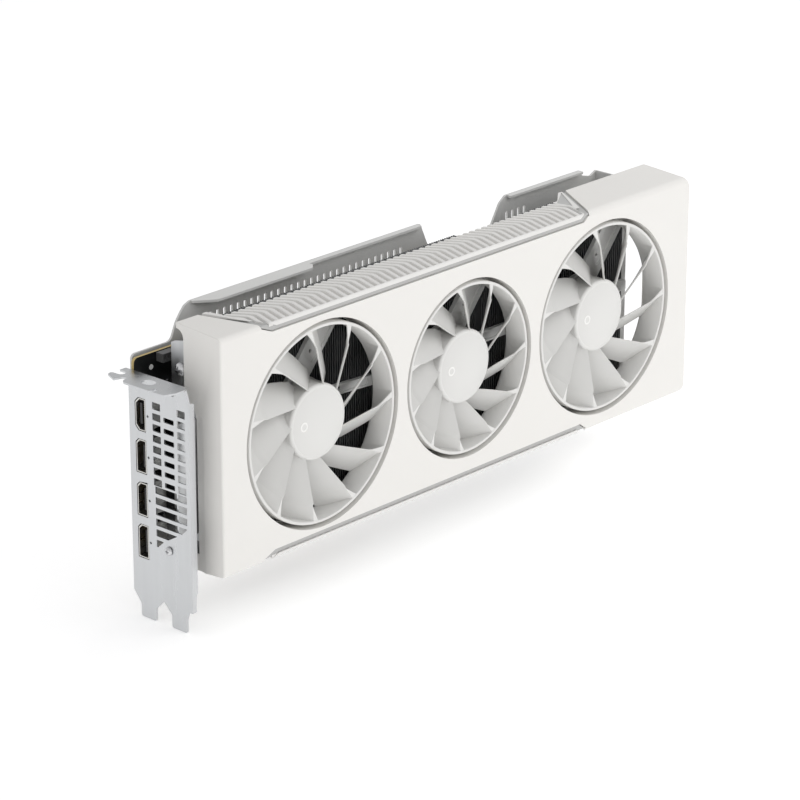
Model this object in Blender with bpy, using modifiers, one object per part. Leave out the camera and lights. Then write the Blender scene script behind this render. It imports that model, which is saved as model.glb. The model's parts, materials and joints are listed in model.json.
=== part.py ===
"""Triple-fan graphics card, modelled as the pieces it is assembled from.

Layout coordinates are millimetres: X runs from the slot bracket's outer face to the far end, Y from
the bracket's rear edge (the fans are at negative Y), and Z up from the tips of the bracket's tongues.
The world's origin is the middle of the lower face of the card edge's long contact tongue.
"""
import math

import bmesh
import bpy
from mathutils import Matrix, Vector

MM = 0.001
GAP = 0.3                      # clearance between pieces that touch

# Card edge and circuit board
BOARD_BACK, BOARD_FRONT = -0.9, -2.47
BOARD_LEFT, BOARD_RIGHT = 1.3, 250.0
BOARD_BOTTOM, BOARD_TOP = 24.75, 125.1
EDGE_BOTTOM = 16.5
SHORT_TONGUE = (51.0, 62.65)
LONG_TONGUE = (64.55, 136.2)
ORIGIN = Vector((sum(LONG_TONGUE) / 2, (BOARD_BACK + BOARD_FRONT) / 2, EDGE_BOTTOM))

# Shroud: an open-backed cover whose top and bottom flare towards the back
SHROUD_LEFT, SHROUD_RIGHT = 11.4, 347.5
SHROUD_FRONT, SHROUD_BACK = -48.0, -20.0
FRONT_BOTTOM, FRONT_TOP = 27.1, 142.3
FLARE = 1.9
WALL = 2.0
END_ROUND = 4.0
EDGE_ROUND = 1.5
TRIM_BAND_LOW, TRIM_BAND_HIGH = 138.0, 140.6
TRIM_REAR = -27.5

# Fans
FAN_X = (77.5, 179.3, 281.1)
FAN_Z = 84.0
FAN_HOLE = (50.6, 45.0, 50.6)
RING_CLEARANCE = 2.0
RING_WALL = 1.6
RING_FRONT, RING_BACK = -45.4, -35.0
HUB_FRONT, HUB_BACK = -44.2, -33.0
HUB_RADIUS = 18.5
HUB_WALL = 1.5
SHAFT_RADIUS = 1.5
BLADES = 11
BLADE_THICKNESS = 1.1
# A blade's leading edge: share of the way from hub to ring, angle in degrees, and Y
BLADE_EDGE = ((-0.03, 77.7, -44.5), (0.33, 90.0, -44.9), (0.735, 96.1, -45.3), (1.03, 98.4, -45.3))
BLADE_REAR = -35.6
BLADE_CHORD = 13.5             # along the arc, from leading to trailing edge
COLLAR_WALL = 1.6
COLLAR_BACK = -31.6
# The two bars behind each fan: direction in degrees, offset to the left of it, and width
FAN_ARMS = (((50.0, 11.1, 12.0), (-3.5, 6.9, 5.0)),
            ((50.0, 4.0, 14.0), (0.0, 4.4, 5.7)),
            ((50.0, 5.5, 13.4), (0.0, 4.4, 5.7)))
MOUNT_FRONT, MOUNT_BACK = -31.2, -28.9
LEAD_RADIUS = 0.6

# Cooler
FIN_FRONT, FIN_BACK = -28.5, -14.2
FIN_PITCH, FIN_WALL, FIN_SPINE = 2.4, 0.6, 1.2
FIN_BOTTOM, FIN_TOP = 31.0, 126.5
MAIN_FINS = (16.5, 206.0)
FAR_FINS = (209.0, 318.0)
PIPE_RADIUS = 3.0
PIPE_Y = -10.9
GPU_CENTRE = (105.0, 78.0)
COLD_PLATE = (62.0, 66.0)
COLD_PLATE_Y = (-7.6, -4.8)
COOLER_SCREW_SPACING = 27.0

# Backplate
PLATE_FRONT, PLATE_BACK = 1.2, 2.4
PLATE_LEFT, PLATE_RIGHT = 3.6, 333.0
PLATE_BOTTOM, PLATE_TOP, PLATE_TOP_RIGHT = 27.4, 142.0, 139.3
END_FLANGE = -14.0             # how far the flange at the far end reaches forwards
VENT_PITCH, VENT_WIDTH = 4.466, 1.7
VENT_FIRST, VENTS = 54.0, 30
VENT_LOW, VENT_HIGH = 112.0, 133.4
OUTLET_PITCH, OUTLET_WIDTH = 5.9, 3.4
OUTLET_FIRST, OUTLETS = 256.0, 12
OUTLET_Z = (40.0, 104.0)

# Slot bracket
SHEET = 0.86
BRACKET_WIDTH = 38.74
BRACKET_TOP = 120.02
TONGUES = (-4.7, -24.9)
TONGUE_WIDTH = 10.0
TONGUE_ROOT = 11.4
PORT_Y = (-10.5, -4.1)
HDMI_Z = (92.3, 107.8)
DISPLAYPORT_Z = ((71.7, 87.8), (50.6, 66.7), (29.8, 46.0))
PORT_DEPTH = 12.0

WHITE_PLASTIC = ((0.83, 0.82, 0.79), 0.45, 0.0)
GREY_PLASTIC = ((0.55, 0.55, 0.53), 0.5, 0.0)
FAN_PLASTIC = ((0.76, 0.76, 0.74), 0.4, 0.0)
WHITE_SHEET = ((0.72, 0.72, 0.70), 0.4, 0.2)
NICKEL = ((0.66, 0.67, 0.68), 0.3, 1.0)
STEEL = ((0.42, 0.42, 0.42), 0.35, 1.0)
DARK_FIN = ((0.06, 0.065, 0.07), 0.45, 0.8)
BLACK_BOARD = ((0.012, 0.013, 0.012), 0.4, 0.0)
BLACK_PLASTIC = ((0.015, 0.015, 0.015), 0.5, 0.0)
CHIP = ((0.03, 0.03, 0.032), 0.55, 0.0)
SILICON = ((0.10, 0.11, 0.13), 0.15, 0.3)
COPPER = ((0.72, 0.38, 0.22), 0.3, 1.0)
FERRITE = ((0.10, 0.10, 0.10), 0.6, 0.0)

# A quarter turn that stands a flat outline up, and one that also turns it to face X
STAND_UP = Matrix.Rotation(math.radians(90), 4, "X")
FACE_X = Matrix.Rotation(math.radians(90), 4, "Z") @ STAND_UP


def start_scene():
    """Empties the scene and returns the collections for the parts and for the cutters."""
    for obj in list(bpy.data.objects):
        bpy.data.objects.remove(obj, do_unlink=True)
    found = []
    for name in ("graphics_card", "cutters"):
        collection = bpy.data.collections.new(name)
        bpy.context.scene.collection.children.link(collection)
        found.append(collection)
    return found


PARTS, CUTTERS = start_scene()


def world(x, y, z):
    """A layout point in the world, in metres."""
    return (Vector((x, y, z)) - ORIGIN) * MM


def finish(obj, look):
    """Gives a piece its own material."""
    colour, roughness, metallic = look
    material = bpy.data.materials.new(obj.name)
    material.use_nodes = True
    shader = material.node_tree.nodes["Principled BSDF"]
    shader.inputs["Base Color"].default_value = (*colour, 1.0)
    shader.inputs["Roughness"].default_value = roughness
    shader.inputs["Metallic"].default_value = metallic
    obj.data.materials.clear()
    obj.data.materials.append(material)
    return obj


def add(name, mesh, place, turn=None, smooth=False):
    """Links a mesh as one piece at a layout point."""
    if smooth:
        mesh.shade_smooth()
        mesh.set_sharp_from_angle(angle=math.radians(35))
    obj = bpy.data.objects.new(name, mesh)
    PARTS.objects.link(obj)
    obj.matrix_world = Matrix.Translation(world(*place)) @ (turn or Matrix())
    return obj


def to_mesh(name, bm):
    mesh = bpy.data.meshes.new(name)
    bm.to_mesh(mesh)
    bm.free()
    return mesh


def box_mesh(name, *spans):
    """One mesh of boxes; a span is (low corner, high corner) in mm about the object's place."""
    bm = bmesh.new()
    for low, high in spans:
        made = bmesh.ops.create_cube(bm, size=1.0)
        size = Vector(high) - Vector(low)
        middle = (Vector(high) + Vector(low)) / 2
        for vert in made["verts"]:
            vert.co = (Vector([c * s for c, s in zip(vert.co, size)]) + middle) * MM
    return to_mesh(name, bm)


def box(name, low, high):
    """A box between two layout corners, placed by its middle."""
    low, high = Vector(low), Vector(high)
    half = (high - low) / 2
    return add(name, box_mesh(name, (-half, half)), low + half)


def cylinder_mesh(name, radius, depth, segments=24):
    bm = bmesh.new()
    bmesh.ops.create_cone(bm, cap_ends=True, segments=segments, radius1=radius * MM,
                          radius2=radius * MM, depth=depth * MM)
    return to_mesh(name, bm)


def cylinder(name, place, radius, depth, turn=STAND_UP, segments=24):
    """A cylinder centred at a layout point; it lies along Y unless turned otherwise."""
    mesh = cylinder_mesh(name, radius, depth, segments)
    return add(name, mesh, place, turn, smooth=True)


def as_mesh_object(curve_obj):
    """Replaces a curve by the mesh that it makes, with its caps welded."""
    depsgraph = bpy.context.evaluated_depsgraph_get()
    mesh = bpy.data.meshes.new_from_object(curve_obj.evaluated_get(depsgraph))
    bm = bmesh.new()
    bm.from_mesh(mesh)
    bmesh.ops.remove_doubles(bm, verts=bm.verts, dist=0.000005)
    bm.to_mesh(mesh)
    bm.free()
    name, matrix = curve_obj.name, curve_obj.matrix_world.copy()
    bpy.data.objects.remove(curve_obj, do_unlink=True)
    obj = bpy.data.objects.new(name, mesh)
    PARTS.objects.link(obj)
    obj.matrix_world = matrix
    return obj


def plate(name, place, turn, thickness, outline, holes=()):
    """A flat sheet centred on its place: an outline in mm with holes, given its thickness."""
    curve = bpy.data.curves.new(name, "CURVE")
    curve.dimensions = "2D"
    curve.fill_mode = "BOTH"
    curve.extrude = thickness / 2 * MM
    for points in (outline, *holes):
        spline = curve.splines.new("POLY")
        spline.points.add(len(points) - 1)
        for point, (u, v) in zip(spline.points, points):
            point.co = (u * MM, v * MM, 0.0, 1.0)
        spline.use_cyclic_u = True
    obj = bpy.data.objects.new(name, curve)
    PARTS.objects.link(obj)
    obj.matrix_world = Matrix.Translation(world(*place)) @ turn
    bpy.context.view_layer.update()
    return as_mesh_object(obj)


def rectangle(u_low, u_high, v_low, v_high):
    return [(u_low, v_low), (u_high, v_low), (u_high, v_high), (u_low, v_high)]


def arc(centre, radius, start, end, steps=6):
    """Points on an arc, angles in degrees."""
    turns = [math.radians(start + (end - start) * i / steps) for i in range(steps + 1)]
    return [(centre[0] + radius * math.cos(t), centre[1] + radius * math.sin(t)) for t in turns]


def circle(centre, radius, steps=16):
    return arc(centre, radius, 0, 360, steps)[:-1]


def turned(name, place, profile, segments=48):
    """A turned piece on an axis along Y; the profile is (radius, distance towards the front)."""
    bm = bmesh.new()
    verts = [bm.verts.new((r * MM, 0.0, h * MM)) for r, h in profile]
    for a, b in zip(verts, verts[1:]):
        bm.edges.new((a, b))
    if profile[0][0] > 0.0:
        bm.edges.new((verts[-1], verts[0]))
    obj = add(name, to_mesh(name, bm), place, STAND_UP)
    screw = obj.modifiers.new("turn", "SCREW")
    screw.steps = screw.render_steps = segments
    screw.use_merge_vertices = True
    screw.merge_threshold = 0.00001
    return obj


def tool(obj):
    """Moves an object to the cutters, so that it only shapes another one."""
    PARTS.objects.unlink(obj)
    CUTTERS.objects.link(obj)
    obj.hide_render = True
    obj.display_type = "WIRE"
    return obj


def combine(obj, other, operation, solver="EXACT"):
    modifier = obj.modifiers.new(operation.lower(), "BOOLEAN")
    modifier.operation = operation
    modifier.solver = solver
    modifier.object = tool(other)
    return obj


def cut(obj, other, solver="EXACT"):
    return combine(obj, other, "DIFFERENCE", solver)


def join(obj, other, solver="EXACT"):
    return combine(obj, other, "UNION", solver)


# ---------------------------------------------------------------- shroud and trims

def flared_box(name, inset=0.0, front=SHROUD_FRONT, back=SHROUD_BACK, rounds=True):
    """The shroud's outer form, or one that is smaller by the inset; taller at the back."""
    bm = bmesh.new()
    bmesh.ops.create_cube(bm, size=1.0)
    slope = FLARE / (SHROUD_BACK - SHROUD_FRONT)
    for vert in bm.verts:
        y = back if vert.co.y > 0 else front
        flare = slope * (y - SHROUD_FRONT) - inset
        x = SHROUD_RIGHT - inset if vert.co.x > 0 else SHROUD_LEFT + inset
        z = FRONT_TOP + flare if vert.co.z > 0 else FRONT_BOTTOM - flare
        vert.co = world(x, y, z)
    if rounds:
        half = (SHROUD_LEFT + SHROUD_RIGHT) / 2
        far = [e for e in bm.edges if all(v.co.x > world(half, 0, 0).x for v in e.verts)
               and abs(e.verts[0].co.y - e.verts[1].co.y) > 0.001]
        bmesh.ops.bevel(bm, geom=far, offset=END_ROUND * MM, segments=4, profile=0.5,
                        affect="EDGES")
        front_y = world(0, front, 0).y
        rim = [e for e in bm.edges if all(v.co.y < front_y + 0.00001 for v in e.verts)]
        bmesh.ops.bevel(bm, geom=rim, offset=EDGE_ROUND * MM, segments=2, profile=0.5,
                        affect="EDGES")
    return add(name, to_mesh(name, bm), ORIGIN)


def trim_sides(sign, clearance=0.0):
    """A prism, seen from above, of the grey trim in the top (sign 1) or bottom (-1) wall."""
    c = clearance
    outline = [(24.5 - c, -18.0), (38.4 - c, -49.0), (266.5 + c, -49.0), (283.0 + c, -18.0),
               (279.0 - c, -18.0), (267.0 - c, TRIM_REAR + c), (34.0 + c, TRIM_REAR + c),
               (29.5 + c, -18.0)]
    height = 20.0
    middle = (FRONT_TOP if sign > 0 else FRONT_BOTTOM) + sign * (height / 2 - 6.0)
    return plate("trim_sides", (0, 0, middle), Matrix(), height, outline)


def trim_front(sign, clearance=0.0):
    """A prism, seen from the front, that gives the trim its slanted ends on the front face."""
    reach = 12.0
    base = FRONT_TOP if sign > 0 else FRONT_BOTTOM
    band = TRIM_BAND_LOW - FRONT_TOP - clearance
    step = TRIM_BAND_HIGH - FRONT_TOP - clearance
    c = clearance
    outline = [(20.0 - c, reach), (20.0 - c, step), (38.4 - c, step), (44.8 - c, band),
               (263.0 + c, band), (266.5 + c, step), (290.0 + c, step), (290.0 + c, reach)]
    outline = [(x, base + sign * z) for x, z in outline]
    return plate("trim_front", (0, -33.0, 0), STAND_UP, 40.0, outline)


def trim(name, sign):
    """A grey trim: the part of the shroud's wall inside both prisms."""
    obj = flared_box(name)
    cut(obj, flared_box("trim_hollow", WALL, SHROUD_FRONT + WALL, SHROUD_BACK + 1.0, False))
    combine(obj, trim_sides(sign), "INTERSECT")
    combine(obj, trim_front(sign), "INTERSECT")
    return finish(obj, GREY_PLASTIC)


def trim_pocket(sign):
    """What the shroud leaves out for a trim, and for the opening behind it."""
    pocket = trim_sides(sign, GAP)
    combine(pocket, trim_front(sign, GAP), "INTERSECT")
    return pocket


def shroud():
    obj = flared_box("fan_shroud")
    cut(obj, flared_box("shroud_hollow", WALL, SHROUD_FRONT + WALL, SHROUD_BACK + 1.0, False))
    for x, radius in zip(FAN_X, FAN_HOLE):
        depth = COLLAR_BACK - SHROUD_FRONT - 1.0
        place = (x, COLLAR_BACK - depth / 2, FAN_Z)
        join(obj, cylinder("collar", place, radius + COLLAR_WALL, depth, segments=64))
    for x, radius in zip(FAN_X, FAN_HOLE):
        cut(obj, cylinder("fan_hole", (x, -40.0, FAN_Z), radius, 30.0, segments=64))
    for sign in (1, -1):
        cut(obj, trim_pocket(sign))
        base = FRONT_TOP if sign > 0 else FRONT_BOTTOM
        edge = [(34.0, TRIM_REAR), (267.0, TRIM_REAR), (279.0, -18.0), (29.5, -18.0)]
        cut(obj, plate("rear_opening", (0, 0, base + sign * 2.0), Matrix(), 12.0, edge))
    left_upper = box("left_relief_upper", (5.0, -24.5, 100.0), (14.0, -10.0, 137.0))
    cut(obj, join(left_upper, cylinder("relief_arch", (9.5, -20.0, 137.0), 4.5, 9.0, FACE_X)))
    cut(obj, box("left_relief_lower", (5.0, -30.5, 34.0), (14.0, -10.0, 107.0)))
    return finish(obj, WHITE_PLASTIC)


# ---------------------------------------------------------------- fans

def blade_set(name, rim_radius):
    """The eleven blades: swept, pitched plates from the hub to the ring, as one mesh."""
    bm = bmesh.new()
    across = 3
    for blade in range(BLADES):
        grid = {}
        for i, (share, lead, front) in enumerate(BLADE_EDGE):
            radius = HUB_RADIUS + (rim_radius - HUB_RADIUS) * share
            wrap = min(33.0, math.degrees(BLADE_CHORD / radius))
            for j in range(across):
                chord = j / (across - 1)
                angle = math.radians(lead - wrap * chord - blade * 360.0 / BLADES)
                y = front + (BLADE_REAR - front) * chord ** 0.85
                for side in (0, 1):
                    point = (radius * math.cos(angle), y + side * BLADE_THICKNESS,
                             radius * math.sin(angle))
                    grid[i, j, side] = bm.verts.new(Vector(point) * MM)
        skin_blade(bm, grid, len(BLADE_EDGE), across)
    bmesh.ops.recalc_face_normals(bm, faces=bm.faces)
    return to_mesh(name, bm)


def skin_blade(bm, grid, stations, across):
    """Closes one blade's grid of front and back points with faces."""
    for i in range(stations - 1):
        for j in range(across - 1):
            ring = [(i, j), (i + 1, j), (i + 1, j + 1), (i, j + 1)]
            bm.faces.new([grid[a, b, 0] for a, b in ring])
            bm.faces.new([grid[a, b, 1] for a, b in reversed(ring)])
    for i in range(stations - 1):
        for j in (0, across - 1):
            bm.faces.new([grid[i, j, 0], grid[i + 1, j, 0], grid[i + 1, j, 1], grid[i, j, 1]])
    for j in range(across - 1):
        for i in (0, stations - 1):
            bm.faces.new([grid[i, j, 0], grid[i, j + 1, 0], grid[i, j + 1, 1], grid[i, j, 1]])


def fan_rotor(number):
    """Hub cup, shaft, blades and ring in one moulding; its origin is on its spin axis."""
    x, ring_outer = FAN_X[number], FAN_HOLE[number] - RING_CLEARANCE
    ring_inner = ring_outer - RING_WALL
    front, back = -HUB_FRONT, -HUB_BACK
    cup = [(0.0, front), (HUB_RADIUS - 0.8, front), (HUB_RADIUS, front - 0.8), (HUB_RADIUS, back),
           (HUB_RADIUS - HUB_WALL, back), (HUB_RADIUS - HUB_WALL, front - HUB_WALL),
           (SHAFT_RADIUS, front - HUB_WALL), (SHAFT_RADIUS, back - 1.0), (0.0, back - 1.0)]
    place = (x, 0.0, FAN_Z)
    rotor = turned(f"fan_{number + 1}_rotor", place, cup, 24)
    ring = [(ring_outer, -RING_FRONT), (ring_outer, -RING_BACK), (ring_inner, -RING_BACK),
            (ring_inner, -RING_FRONT)]
    join(rotor, add("blades", blade_set("blades", ring_inner), place))
    join(rotor, turned("ring", place, ring, 48))
    return finish(rotor, FAN_PLASTIC)


def fan_stator(number):
    """The fixed half of the motor: a bearing tube with its ring of windings."""
    profile = [(4.0, 41.6), (4.0, 40.4), (15.2, 40.4), (15.2, 33.6), (5.5, 33.6), (5.5, 31.5),
               (1.9, 31.5), (1.9, 41.6)]
    place = (FAN_X[number], 0.0, FAN_Z)
    return finish(turned(f"fan_{number + 1}_stator", place, profile, 16), STEEL)


def fan_mount(number):
    """The spider behind a fan: a motor seat on two crossed bars that reach past the collar."""
    reach = FAN_HOLE[number] + COLLAR_WALL
    middle = (MOUNT_FRONT + MOUNT_BACK) / 2
    thickness = MOUNT_BACK - MOUNT_FRONT
    place = (FAN_X[number], middle, FAN_Z)
    mount = cylinder(f"fan_{number + 1}_mount", place, 19.0, thickness, segments=32)
    for angle, offset, width in FAN_ARMS[number]:
        far = math.sqrt(reach ** 2 - offset ** 2)
        near_plate = FAR_FINS[1] - FAN_X[number]
        span = ((-far, -thickness / 2, offset - width / 2),
                (near_plate if angle == 0.0 and near_plate < far else far, thickness / 2,
                 offset + width / 2))
        turn = Matrix.Rotation(math.radians(-angle), 4, "Y")
        join(mount, add("arm", box_mesh("arm", span), place, turn))
    return finish(mount, GREY_PLASTIC)


def fan_lead(number):
    """The motor's lead: out from the bearing tube, round the motor seat and along an arm."""
    start, seat, end = 6.2, 17.6, FAN_HOLE[number] - GAP
    angle, offset, _ = FAN_ARMS[number][1]
    arm, arm_end = (180.0 + angle - math.degrees(math.asin(offset / radius))
                    for radius in (seat + 5.0, end))
    leave = 100.0
    polar = [(start, leave), (seat - 4.0, leave), (seat - 1.0, leave + 3.0)]
    polar += [(seat, leave + 12.0 + (arm - leave - 24.0) * i / 8) for i in range(9)]
    polar += [(seat + 1.0, arm - 3.0), (seat + 5.0, arm), (end, arm_end)]
    curve = bpy.data.curves.new(f"fan_{number + 1}_lead", "CURVE")
    curve.dimensions = "3D"
    curve.bevel_depth = LEAD_RADIUS * MM
    curve.bevel_resolution = 2
    curve.use_fill_caps = True
    spline = curve.splines.new("POLY")
    spline.points.add(len(polar) - 1)
    for point, (radius, angle) in zip(spline.points, polar):
        turn = math.radians(angle)
        point.co = (radius * math.cos(turn) * MM, 0.0, radius * math.sin(turn) * MM, 1.0)
    obj = bpy.data.objects.new(curve.name, curve)
    PARTS.objects.link(obj)
    place = world(FAN_X[number], MOUNT_FRONT - GAP - LEAD_RADIUS, FAN_Z)
    obj.matrix_world = Matrix.Translation(place)
    bpy.context.view_layer.update()
    return finish(as_mesh_object(obj), BLACK_PLASTIC)


# ---------------------------------------------------------------- cooler

def fin_stack(name, span, raised_from, raised_top):
    """A comb of upright fins on a spine at their rear, taller from one X onwards."""
    left, right = span
    outline = [(right, FIN_BACK), (left, FIN_BACK)]
    count = int((right - left - FIN_WALL) / FIN_PITCH)
    for i in range(count + 1):
        x = left + i * FIN_PITCH
        outline += [(x, FIN_FRONT), (x + FIN_WALL, FIN_FRONT)]
        if i < count:
            outline += [(x + FIN_WALL, FIN_BACK - FIN_SPINE), (x + FIN_PITCH, FIN_BACK - FIN_SPINE)]
        else:
            outline += [(x + FIN_WALL, FIN_BACK - FIN_SPINE), (right, FIN_BACK - FIN_SPINE)]
    height = raised_top - FIN_BOTTOM
    fins = plate(name, (0, 0, FIN_BOTTOM + height / 2), Matrix(), height, outline)
    low = box("fin_step", (left - 5, -40, FIN_TOP), (raised_from, 0, raised_top + 5))
    cut(fins, low, "MANIFOLD")
    return finish(fins, DARK_FIN)


def fin_end_plate():
    """The plate that closes the fins' far end."""
    obj = box("fin_end_plate", (FAR_FINS[1] + GAP, FIN_FRONT, 30.0),
              (FAR_FINS[1] + 1.5, FIN_BACK, 136.0))
    return finish(obj, GREY_PLASTIC)


def heat_pipe(number):
    """A pipe that lies on the cold plate beside the others and spreads out to both ends."""
    lane = number - 1.5
    start, end, steps = 24.0, 312.0, 14
    curve = bpy.data.curves.new(f"heat_pipe_{number + 1}", "CURVE")
    curve.dimensions = "3D"
    curve.bevel_depth = PIPE_RADIUS * MM
    curve.bevel_resolution = 2
    curve.use_fill_caps = True
    spline = curve.splines.new("POLY")
    spline.points.add(steps)
    for i, point in enumerate(spline.points):
        x = start + (end - start) * i / steps
        away = min(1.0, max(0.0, (abs(x - GPU_CENTRE[0]) - 36.0) / 45.0))
        spread = 8.0 + 9.0 * away * away * (3.0 - 2.0 * away)
        point.co = (x * MM, 0.0, lane * spread * MM, 1.0)
    obj = bpy.data.objects.new(curve.name, curve)
    PARTS.objects.link(obj)
    obj.matrix_world = Matrix.Translation(world(0, PIPE_Y, GPU_CENTRE[1]))
    bpy.context.view_layer.update()
    return finish(as_mesh_object(obj), NICKEL)


def cold_plate():
    x, z = GPU_CENTRE
    half_x, half_z = COLD_PLATE[0] / 2, COLD_PLATE[1] / 2
    return finish(box("cold_plate", (x - half_x, COLD_PLATE_Y[0], z - half_z),
                      (x + half_x, COLD_PLATE_Y[1], z + half_z)), COPPER)


# ---------------------------------------------------------------- circuit board

def cooler_screw_places():
    x, z = GPU_CENTRE
    d = COOLER_SCREW_SPACING
    return [(x - d, z - d), (x + d, z - d), (x - d, z + d), (x + d, z + d)]


def backplate_screw_places():
    return [(14.0, 40.0), (14.0, 116.0), (190.0, 40.0), (236.0, 96.0)]


def board():
    """The circuit board with its card edge: two contact tongues, the key notch and the hook."""
    r = 2.5
    outline = [(BOARD_LEFT, BOARD_BOTTOM)]
    for low, high in (SHORT_TONGUE, LONG_TONGUE):
        outline += [(low, BOARD_BOTTOM), (low, EDGE_BOTTOM + 1.0), (low + 1.0, EDGE_BOTTOM),
                    (high - 1.0, EDGE_BOTTOM), (high, EDGE_BOTTOM + 1.0), (high, BOARD_BOTTOM)]
    outline += [(138.3, BOARD_BOTTOM), (138.3, 19.5), (141.5, 19.5), (144.5, 22.5),
                (144.5, BOARD_BOTTOM), (BOARD_RIGHT, BOARD_BOTTOM)]
    outline += arc((BOARD_RIGHT - r, BOARD_TOP - r), r, 0, 90)
    outline += arc((BOARD_LEFT + r, BOARD_TOP - r), r, 90, 180)
    holes = [circle(place, 1.8, 12) for place in cooler_screw_places()]
    place = (0, (BOARD_BACK + BOARD_FRONT) / 2, 0)
    obj = plate("circuit_board", place, STAND_UP, BOARD_BACK - BOARD_FRONT, outline, holes)
    return finish(obj, BLACK_BOARD)


def chip(name, x, z, width, height, thickness, look, lift=0.0):
    """A flat component on the board's front face, centred at (x, z)."""
    rear = BOARD_FRONT - GAP - lift
    return finish(box(name, (x - width / 2, rear - thickness, z - height / 2),
                      (x + width / 2, rear, z + height / 2)), look)


def components():
    x, z = GPU_CENTRE
    chip("gpu_substrate", x, z, 42.0, 42.0, 0.8, CHIP)
    chip("gpu_die", x, z, 26.0, 20.0, 0.5, SILICON, 0.8 + GAP)
    memory = [(-36.0, -10.0), (-36.0, 10.0), (36.0, -10.0), (36.0, 10.0), (-9.0, -33.0),
              (9.0, -33.0)]
    for i, (dx, dz) in enumerate(memory):
        chip(f"memory_chip_{i + 1}", x + dx, z + dz, 12.0, 14.0, 1.1, CHIP)
    for i in range(4):
        chip(f"power_choke_{i + 1}", 172.0, 46.0 + 17.0 * i, 10.0, 10.0, 4.5, FERRITE)
    header = chip("fan_header", 19.5, 122.7, 9.0, 4.2, 4.5, GREY_PLASTIC)
    sockets = [((16.0 + 2.0 * i, -8.0, 121.8), (17.0 + 2.0 * i, -4.0, 123.6)) for i in range(4)]
    cut(header, add("header_pins", box_mesh("header_pins", *sockets), (0, 0, 0)))


def power_connector(number):
    """An eight-way socket on the board's top edge, opening upwards."""
    left = 206.0 + 22.5 * number
    low, high = (left, -13.6, 112.0), (left + 21.0, BOARD_FRONT - GAP, 129.5)
    obj = box(f"power_connector_{number + 1}", low, high)
    wells = []
    for row in range(2):
        for column in range(4):
            x, y = left + 1.9 + 4.6 * column, -12.3 + 4.7 * row
            wells.append(((x, y, 116.0), (x + 3.4, y + 3.4, 132.0)))
    cut(obj, add("wells", box_mesh("wells", *wells), (0, 0, 0)))
    return finish(obj, BLACK_PLASTIC)


# ---------------------------------------------------------------- bracket and ports

def bracket_holes():
    """The port windows, vent grille and small holes, as (Y, Z) outlines."""
    holes = []
    for z_low, z_high in (HDMI_Z, *DISPLAYPORT_Z):
        holes.append(rectangle(PORT_Y[0] - GAP, PORT_Y[1] + GAP, z_low - GAP, z_high + GAP))
        holes.append(arc((-12.1, z_high - 7.6), 0.8, 0, 270, 3))
    pitch = 5.26
    for row in range(8):
        holes.append(rectangle(-20.4, -15.2, 104.6 - pitch * row, 108.1 - pitch * row))
    for row in range(8):
        holes.append(rectangle(-36.2, -31.0, 104.8 - pitch * row, 108.3 - pitch * row))
    for row in range(7):
        holes.append(rectangle(-29.0, -22.4, 100.0 - pitch * row, 102.4 - pitch * row))
    for row in range(6):
        low, high = 63.9 - 5.24 * row, 67.4 - 5.24 * row
        slant = 0.585
        clip_low, clip_high = (min(36.3, max(17.0, 14.8 + (z - 37.7) / slant))
                               for z in (low, high))
        holes.append([(-16.0, low), (-16.0, high), (-clip_high, high), (-clip_low, low)])
    holes.append(circle((-28.3, 115.4), 1.6, 12))
    holes.append(circle((-24.3, 37.9), 1.8, 12))
    return holes


def tongue(back):
    """A tongue's edge, from its rear root round its tip to its front root."""
    front = back - TONGUE_WIDTH
    root = TONGUE_ROOT - 5.0
    return [(back, root), (back, 0.8), (back - 0.8, 0.0), (front + 0.8, 0.0), (front, 0.8),
            (front, root)]


def bracket_outline():
    width = BRACKET_WIDTH
    between = (TONGUES[0] - TONGUE_WIDTH - 4.9, TONGUE_ROOT)
    return [(0.0, BRACKET_TOP), (0.0, TONGUE_ROOT + 0.6), *tongue(TONGUES[0]), between,
            *tongue(TONGUES[1]), (-36.4, TONGUE_ROOT - 0.6), (-width, TONGUE_ROOT - 0.6),
            (-width, 113.4), (-width + 1.7, 118.6), (-width + 1.7, BRACKET_TOP)]


def tab_outline():
    """The fixing tab seen from above, with its screw notch and relief notches."""
    notch = arc((-5.2, -1.2), 2.1, 180, 360, 6)
    return ([(SHEET, 2.3), (-3.1, 2.3)] + notch[::-1] + [(-7.3, 1.8), (-8.3, 3.0), (-10.4, 2.2),
            (-13.2, -4.5), (-9.2, -5.6), (-7.9, -7.8), (-12.0, -9.3), (-13.2, -11.0),
            (-13.4, -27.4), (-11.4, -27.6), (-9.2, -27.2), (-9.2, -29.2), (-13.4, -29.8),
            (-12.8, -36.4), (-7.3, -38.6), (-1.8, -38.4), (SHEET, -37.2)])


def bracket():
    """The slot bracket: face, fixing tab and stiffening flange bent from one sheet."""
    obj = plate("io_bracket", (SHEET / 2, 0, 0), FACE_X, SHEET, bracket_outline(),
                bracket_holes())
    hole = arc((-5.7, -18.6), 2.8, 0, 180, 6) + arc((-5.7, -20.3), 2.8, 180, 360, 6)
    join(obj, plate("tab", (0, 0, BRACKET_TOP - SHEET / 2), Matrix(), SHEET, tab_outline(),
                    [hole]), "MANIFOLD")
    flange = [(0.1, 10.8), (2.6, 10.8), (2.6, 19.0), (3.6, 20.0), (3.6, 112.0), (0.1, 113.2)]
    join(obj, plate("flange", (0, -BRACKET_WIDTH + SHEET / 2, 0), STAND_UP, SHEET, flange), "MANIFOLD")
    return finish(obj, NICKEL)


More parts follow.
